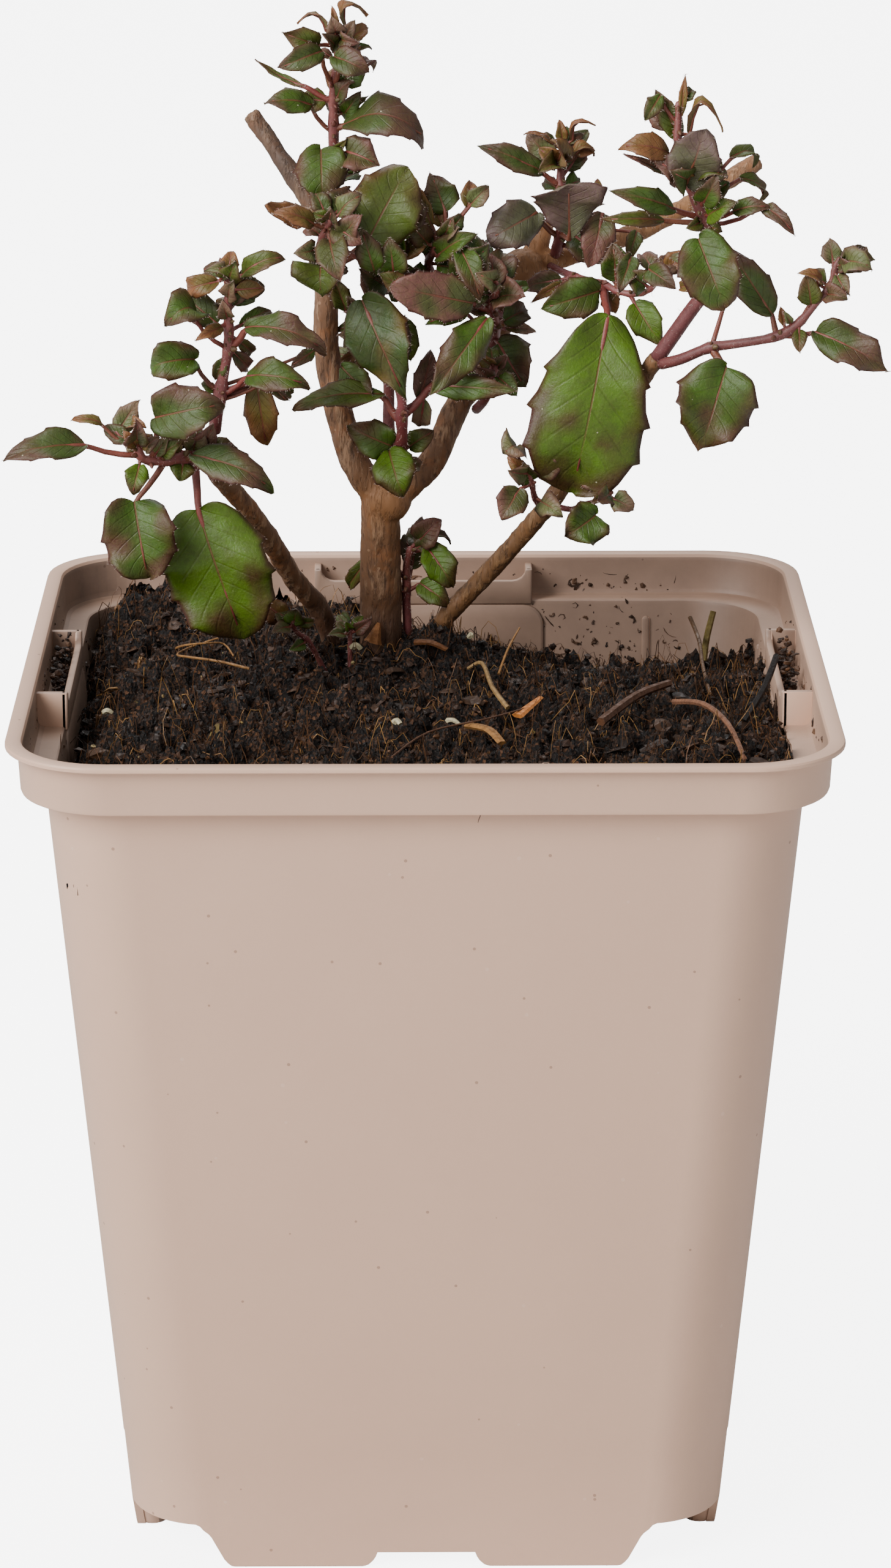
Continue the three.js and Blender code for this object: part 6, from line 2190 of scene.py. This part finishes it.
@dataclass(frozen=True)
class Litterbit:
    """One sort of litter.

    Attributes:
        shape: What it looks like.
        count: How many lie on the surface.
        size: Its smallest and largest size.
        colours: The two colours that it lies between.
    """

    shape: LitterShape
    count: int
    size: tuple[float, float]
    colours: tuple[Colour, Colour]

    SIDES = 5
    FIBRE_SIDES = 3
    FIBRE_RINGS = (0.5, 1, 1, 0.9, 0.9, 0.8, 0.4)

    def draw(self, sketch: Sketch, at: Vector, rng: random.Random, soil: Soil,
             lie: bool = True) -> None:
        """Draws one bit.

        Args:
            sketch: What it is drawn into.
            at: Its place on the surface.
            rng: The random draw.
            soil: The soil that it lies on.
            lie: Whether it lies on the soil's surface, or stays where it is.
        """
        size = rng.uniform(*self.size) * rng.uniform(0.6, 1.0)
        tint = blend(*self.colours, rng.random())
        if self.shape is LitterShape.FIBRE:
            self._fibre(sketch, at, size, tint, rng, soil)
            return
        crumb = self.shape is LitterShape.CRUMB
        flat = rng.uniform(0.6, 1.0) if crumb else 0.25
        long = rng.uniform(0.8, 1.5) if crumb else rng.uniform(1.2, 2.4)
        way = Vector((rng.uniform(-1, 1), rng.uniform(-1, 1), rng.uniform(-0.35, 0.35))).normalized()
        if lie:
            at = soil.on_top(at.x, at.y, 0.5 * size * max(long, 1.0))
        centres = [at + way * size * long * share for share in (-0.5, -0.3, 0.2, 0.5)]
        radii = [size * share * rng.uniform(0.8, 1.2) for share in (0.16, 0.46, 0.5, 0.2)]
        rings = tube_rings(centres, radii, self.SIDES)
        tilt = Vector((rng.uniform(-0.5, 0.5), rng.uniform(-0.5, 0.5), 1)).normalized()
        for ring, centre in zip(rings, centres):
            for point in ring:
                off = point - centre
                jag = rng.uniform(0.55, 1.3)
                point += off * (jag - 1) - tilt * off.dot(tilt) * (1 - flat)
        sketch.plain(rings, tint)

    def _fibre(self, sketch: Sketch, at: Vector, size: float, tint: Colour, rng: random.Random,
               soil: Soil) -> None:
        """Draws a thin fibre that lies on the surface and lifts off it here and there."""
        heading = rng.uniform(0, math.tau)
        bend = rng.uniform(-0.5, 0.5)
        rise = 3.4 * rng.random() ** 2
        centres = []
        steps = len(self.FIBRE_RINGS)
        place = at.copy()
        for step in range(steps):
            lift = 0.15 + rise * math.sin(math.pi * step / (steps - 1)) * size * 0.25
            x, y = soil.inside(place.x, place.y, soil.pot.shoulder)
            centres.append(Vector((x, y, soil.height(x, y) + lift)))
            heading += bend + rng.uniform(-0.25, 0.25)
            place += Vector((math.cos(heading), math.sin(heading), 0)) * size / steps
        thick = rng.uniform(0.02, 0.07)
        radii = [thick * share for share in self.FIBRE_RINGS]
        sketch.tube(centres, radii, self.FIBRE_SIDES, tint)


LITTER = (
    Litterbit(LitterShape.CRUMB, 3400, (0.3, 1.2), (srgb(16, 10, 7), srgb(64, 42, 28))),
    Litterbit(LitterShape.CRUMB, 700, (0.3, 0.9), (srgb(104, 70, 44), srgb(60, 40, 26))),
    Litterbit(LitterShape.CRUMB, 80, (0.25, 0.7), (srgb(176, 158, 112), srgb(132, 108, 62))),
    Litterbit(LitterShape.CHIP, 300, (0.8, 2.4), (srgb(32, 21, 15), srgb(74, 50, 32))),
    Litterbit(LitterShape.CHIP, 40, (0.7, 1.8), (srgb(132, 94, 50), srgb(92, 78, 38))),
    Litterbit(LitterShape.FIBRE, 1700, (1.4, 6.5), (srgb(104, 68, 38), srgb(34, 21, 14))),
    Litterbit(LitterShape.FIBRE, 420, (1.6, 6.5), (srgb(172, 130, 78), srgb(118, 82, 44))),
)


@dataclass(frozen=True)
class PocketHeap:
    """Soil that has fallen into a label pocket.

    Attributes:
        low: The heap's lowest corner.
        high: Its highest corner.
        count: How many bits it holds.
    """

    low: Triple
    high: Triple
    count: int

    def draw(self, sketch: Sketch, rng: random.Random, soil: Soil) -> None:
        """Draws its bits, fewer near its top."""
        kinds = [LITTER[0], LITTER[1], LITTER[3]]
        for _ in range(self.count):
            shares = (rng.random(), rng.random(), rng.random() ** 1.8)
            box = zip(self.low, self.high, shares)
            at = Vector(low + (high - low) * share for low, high, share in box)
            kind = rng.choices(kinds, (8, 2, 1))[0]
            small = Litterbit(kind.shape, 1, (0.3, 0.9), kind.colours)
            small.draw(sketch, at, rng, soil, lie=False)


POCKET_HEAPS = (
    PocketHeap((-42.3, -2.5, 93.4), (-40.7, 11.8, 97.2), 150),
    PocketHeap((-42.0, -11.0, 93.4), (-40.9, 2.0, 94.6), 60),
    PocketHeap((40.8, -2.0, 93.4), (42.3, 11.5, 97.6), 140),
)


@dataclass(frozen=True)
class Root:
    """A single root, twig or chip that the eye finds at once.

    Attributes:
        run: Its middle line and thickness.
        tint: Its colour.
        flat: Its thickness against its width.
    """

    run: Run
    tint: Colour
    flat: float = 1.0

    SIDES = 6

    def draw(self, sketch: Sketch) -> None:
        """Draws it into the litter."""
        centres, radii = self.run.line()
        rings = tube_rings(centres, radii, self.SIDES)
        for ring, centre in zip(rings, centres):
            for point in ring:
                point.z = centre.z + (point.z - centre.z) * self.flat
        sketch.plain(rings, self.tint)


TAN_ROOT = srgb(146, 104, 58)
ROSY_ROOT = srgb(122, 84, 62)
PALE_BIT = srgb(186, 176, 142)
ROOTS = (
    Root(Run((
        (28, -7, 94), (31, -12, 95.2), (33.4, -19.5, 95), (34.8, -27, 93.2),
    ), (0.36, 0.28)), ROSY_ROOT),
    Root(Run(((19.5, -15.5, 94.2), (23.7, -9.3, 95.4), (27.6, -5, 95.6)), (0.56, 0.42)), srgb(86, 57, 39)),
    Root(Run(((35.6, -12, 93.2), (38, -9, 96.2), (39.6, -5, 98.8)), (0.42, 0.36)), srgb(24, 18, 15)),
    Root(Run(((33, 22, 90.5), (33.4, 23, 93), (34.2, 24, 96)), (0.42, 0.35)), srgb(112, 96, 48)),
    Root(Run((
        (31.5, 25, 95), (32.4, 21, 93.2), (32.2, 10, 93.4), (32.3, -3, 93.8),
    ), (0.26, 0.2)), srgb(92, 66, 42)),
    Root(Run(((8.5, 3, 94.4), (9.6, 6, 96.5), (11, 9, 98.2)), (0.17, 0.11)), TAN_ROOT),
    Root(Run((
        (5, 3.6, 94.9), (6.6, 1.9, 96), (7.6, -6.4, 95.6), (9.3, -10, 94.2),
    ), (0.2, 0.3)), srgb(142, 112, 70)),
    Root(Run((
        (-3.6, -30, 94.6), (0.4, -22, 95), (7, -16.8, 95), (12.7, -10, 94.6),
    ), (0.13, 0.09)), srgb(98, 66, 46)),
    Root(Run(((10.3, -13.5, 94.3), (13, -9.2, 95.2)), (0.75, 0.35)), srgb(196, 122, 60), 0.4),
    Root(Run((
        (4.8, -17.5, 94.4), (7, -20.5, 94.8), (8.4, -23.6, 94.2),
    ), (0.7, 0.55)), srgb(150, 106, 58), 0.5),
    Root(Run(((-5.9, 8.8, 96.5), (-5.6, 9.0, 97.5), (-5.2, 9.4, 98.7)), (1.1, 0.2)), srgb(158, 104, 58)),
    Root(Run(((-1.0, 8.0, 96.8), (0.8, 7.4, 96.9), (2.6, 7.0, 96.2)), (0.7, 0.45)), srgb(104, 66, 38), 0.5),
    Root(Run(((-8.2, 5.5, 96.9), (-7.8, 5.1, 97.3), (-7.3, 5.2, 96.8)), (0.5, 0.35)), PALE_BIT, 0.7),
    Root(Run(((-3.4, -18.4, 95), (-3.1, -18.5, 95.3), (-2.7, -18.9, 95.0)), (0.45, 0.3)), PALE_BIT, 0.8),
    Root(Run(((2.6, -17.2, 94.9), (3.1, -17.7, 95.1), (3.8, -18, 94.7)), (0.5, 0.25)), PALE_BIT, 0.6),
    Root(Run(((5.2, 9.8, 96.9), (5.4, 9.5, 97.3), (5.6, 9.6, 96.9)), (0.35, 0.2)), PALE_BIT),
    Root(Run(((-35.8, -10, 93.8), (-35.4, -10.3, 94.1), (-34.9, -10.3, 93.8)), (0.4, 0.25)), PALE_BIT, 0.8),
    Root(Run((
        (-28.5, 16, 93.6), (-28.7, 12, 95), (-27.4, 10.5, 95.8), (-25.2, 10.5, 96),
        (-23.2, 12, 95.5), (-22, 10, 94.6),
    ), (0.14, 0.1)), TAN_ROOT),
    Root(Run((
        (-20, 4, 94.8), (-23.5, 5, 95.4), (-27, 7.5, 95.2), (-28.5, 10, 94.8),
        (-27, 14, 94.6), (-24, 15.5, 95.2),
    ), (0.16, 0.11)), TAN_ROOT),
)


# ---------------------------------------------------------------- studio


@dataclass(frozen=True)
class Lamp:
    """A square light that faces the plant.

    Attributes:
        name: Its name.
        place: Where it hangs, in metres.
        size: Its side, in metres.
        power: Its power, in watts.
    """

    name: str
    place: Triple
    size: float
    power: float

    def hang(self, aim: Vector) -> None:
        """Adds the light, turned towards a place."""
        clear_selection()
        bpy.ops.object.light_add(type="AREA", location=self.place)
        light = bpy.context.object
        light.name = self.name
        light.data.size = self.size
        light.data.energy = self.power
        light.rotation_euler = (aim - Vector(self.place)).to_track_quat("-Z", "Y").to_euler()


@dataclass
class Studio:
    """Camera, paper and light."""

    camera_place: Triple = (-1.6, -555.8, 255.3)
    pitch: float = 17.299
    yaw: float = 0.412
    lens: float = 116.95
    sensor: float = 36.0
    paper_side: float = 6.0
    room_tint: Colour = srgb(250, 250, 252)
    room_light: float = 0.44
    aim: Triple = (0.0, 0.0, 0.1)
    lamps: tuple[Lamp, ...] = (
        Lamp("key_light", (-1.0, -0.95, 1.0), 1.0, 49.0),
        Lamp("fill_light", (0.95, -0.7, 0.55), 1.1, 0.6),
        Lamp("back_light", (-0.1, 0.9, 1.2), 0.8, 8.0),
    )

    def build(self, paper: Material) -> None:
        """Sets up the studio, with the ground in the paper's finish."""
        self._camera()
        self._paper(paper)
        self._lights()

    def _camera(self) -> None:
        """Places the camera where the portrait was taken from."""
        clear_selection()
        turn = (math.radians(90 - self.pitch), 0.0, math.radians(-self.yaw))
        bpy.ops.object.camera_add(location=world_point(self.camera_place), rotation=turn)
        camera = bpy.context.object
        camera.data.lens = self.lens
        camera.data.sensor_width = self.sensor
        camera.data.clip_start = 0.01
        bpy.context.scene.camera = camera

    def _paper(self, material: Material) -> None:
        """Lays out the plain pale ground."""
        clear_selection()
        bpy.ops.mesh.primitive_plane_add(size=self.paper_side)
        paper = bpy.context.object
        paper.name = "studio_ground"
        paper.data.materials.append(material)

    def _lights(self) -> None:
        """Lights the room evenly, and hangs its lamps."""
        world = bpy.data.worlds.new("studio_room")
        world.use_nodes = True
        room = world.node_tree.nodes["Background"]
        room.inputs["Color"].default_value = self.room_tint
        room.inputs["Strength"].default_value = self.room_light
        bpy.context.scene.world = world
        for lamp in self.lamps:
            lamp.hang(Vector(self.aim))


def main() -> None:
    """Loads the frame, dresses it and sets up the studio."""
    logging.basicConfig(level=logging.INFO, format="%(message)s")
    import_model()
    effects = Effects()
    studio = Studio()
    studio.build(StudioPaper("studio_paper", effects).material())

    pot = NurseryPot()
    pot.build(PotPlastic("pot_plastic", effects).material())
    mix = PottingMix("potting_mix", effects).material()
    Soil(pot).build([mix, Litter("soil_litter", effects).material()])

    old_bark = Bark("old_bark", effects).material()
    smooth_bark = Bark("smooth_bark", effects, *SMOOTH_BARK, flaking=0.3).material()
    for stem in WOODY_STEMS:
        stem.build(old_bark if stem.name != "right_stem" else smooth_bark)

    growth = [
        LeafBlade("leaf_blade", effects).material(),
        ShootSkin("shoot_skin", effects).material(),
        Hair("pale_hair", effects).material(),
    ]
    for shoot in SHOOTS:
        shoot.build(growth)


if __name__ == "__main__":
    main()
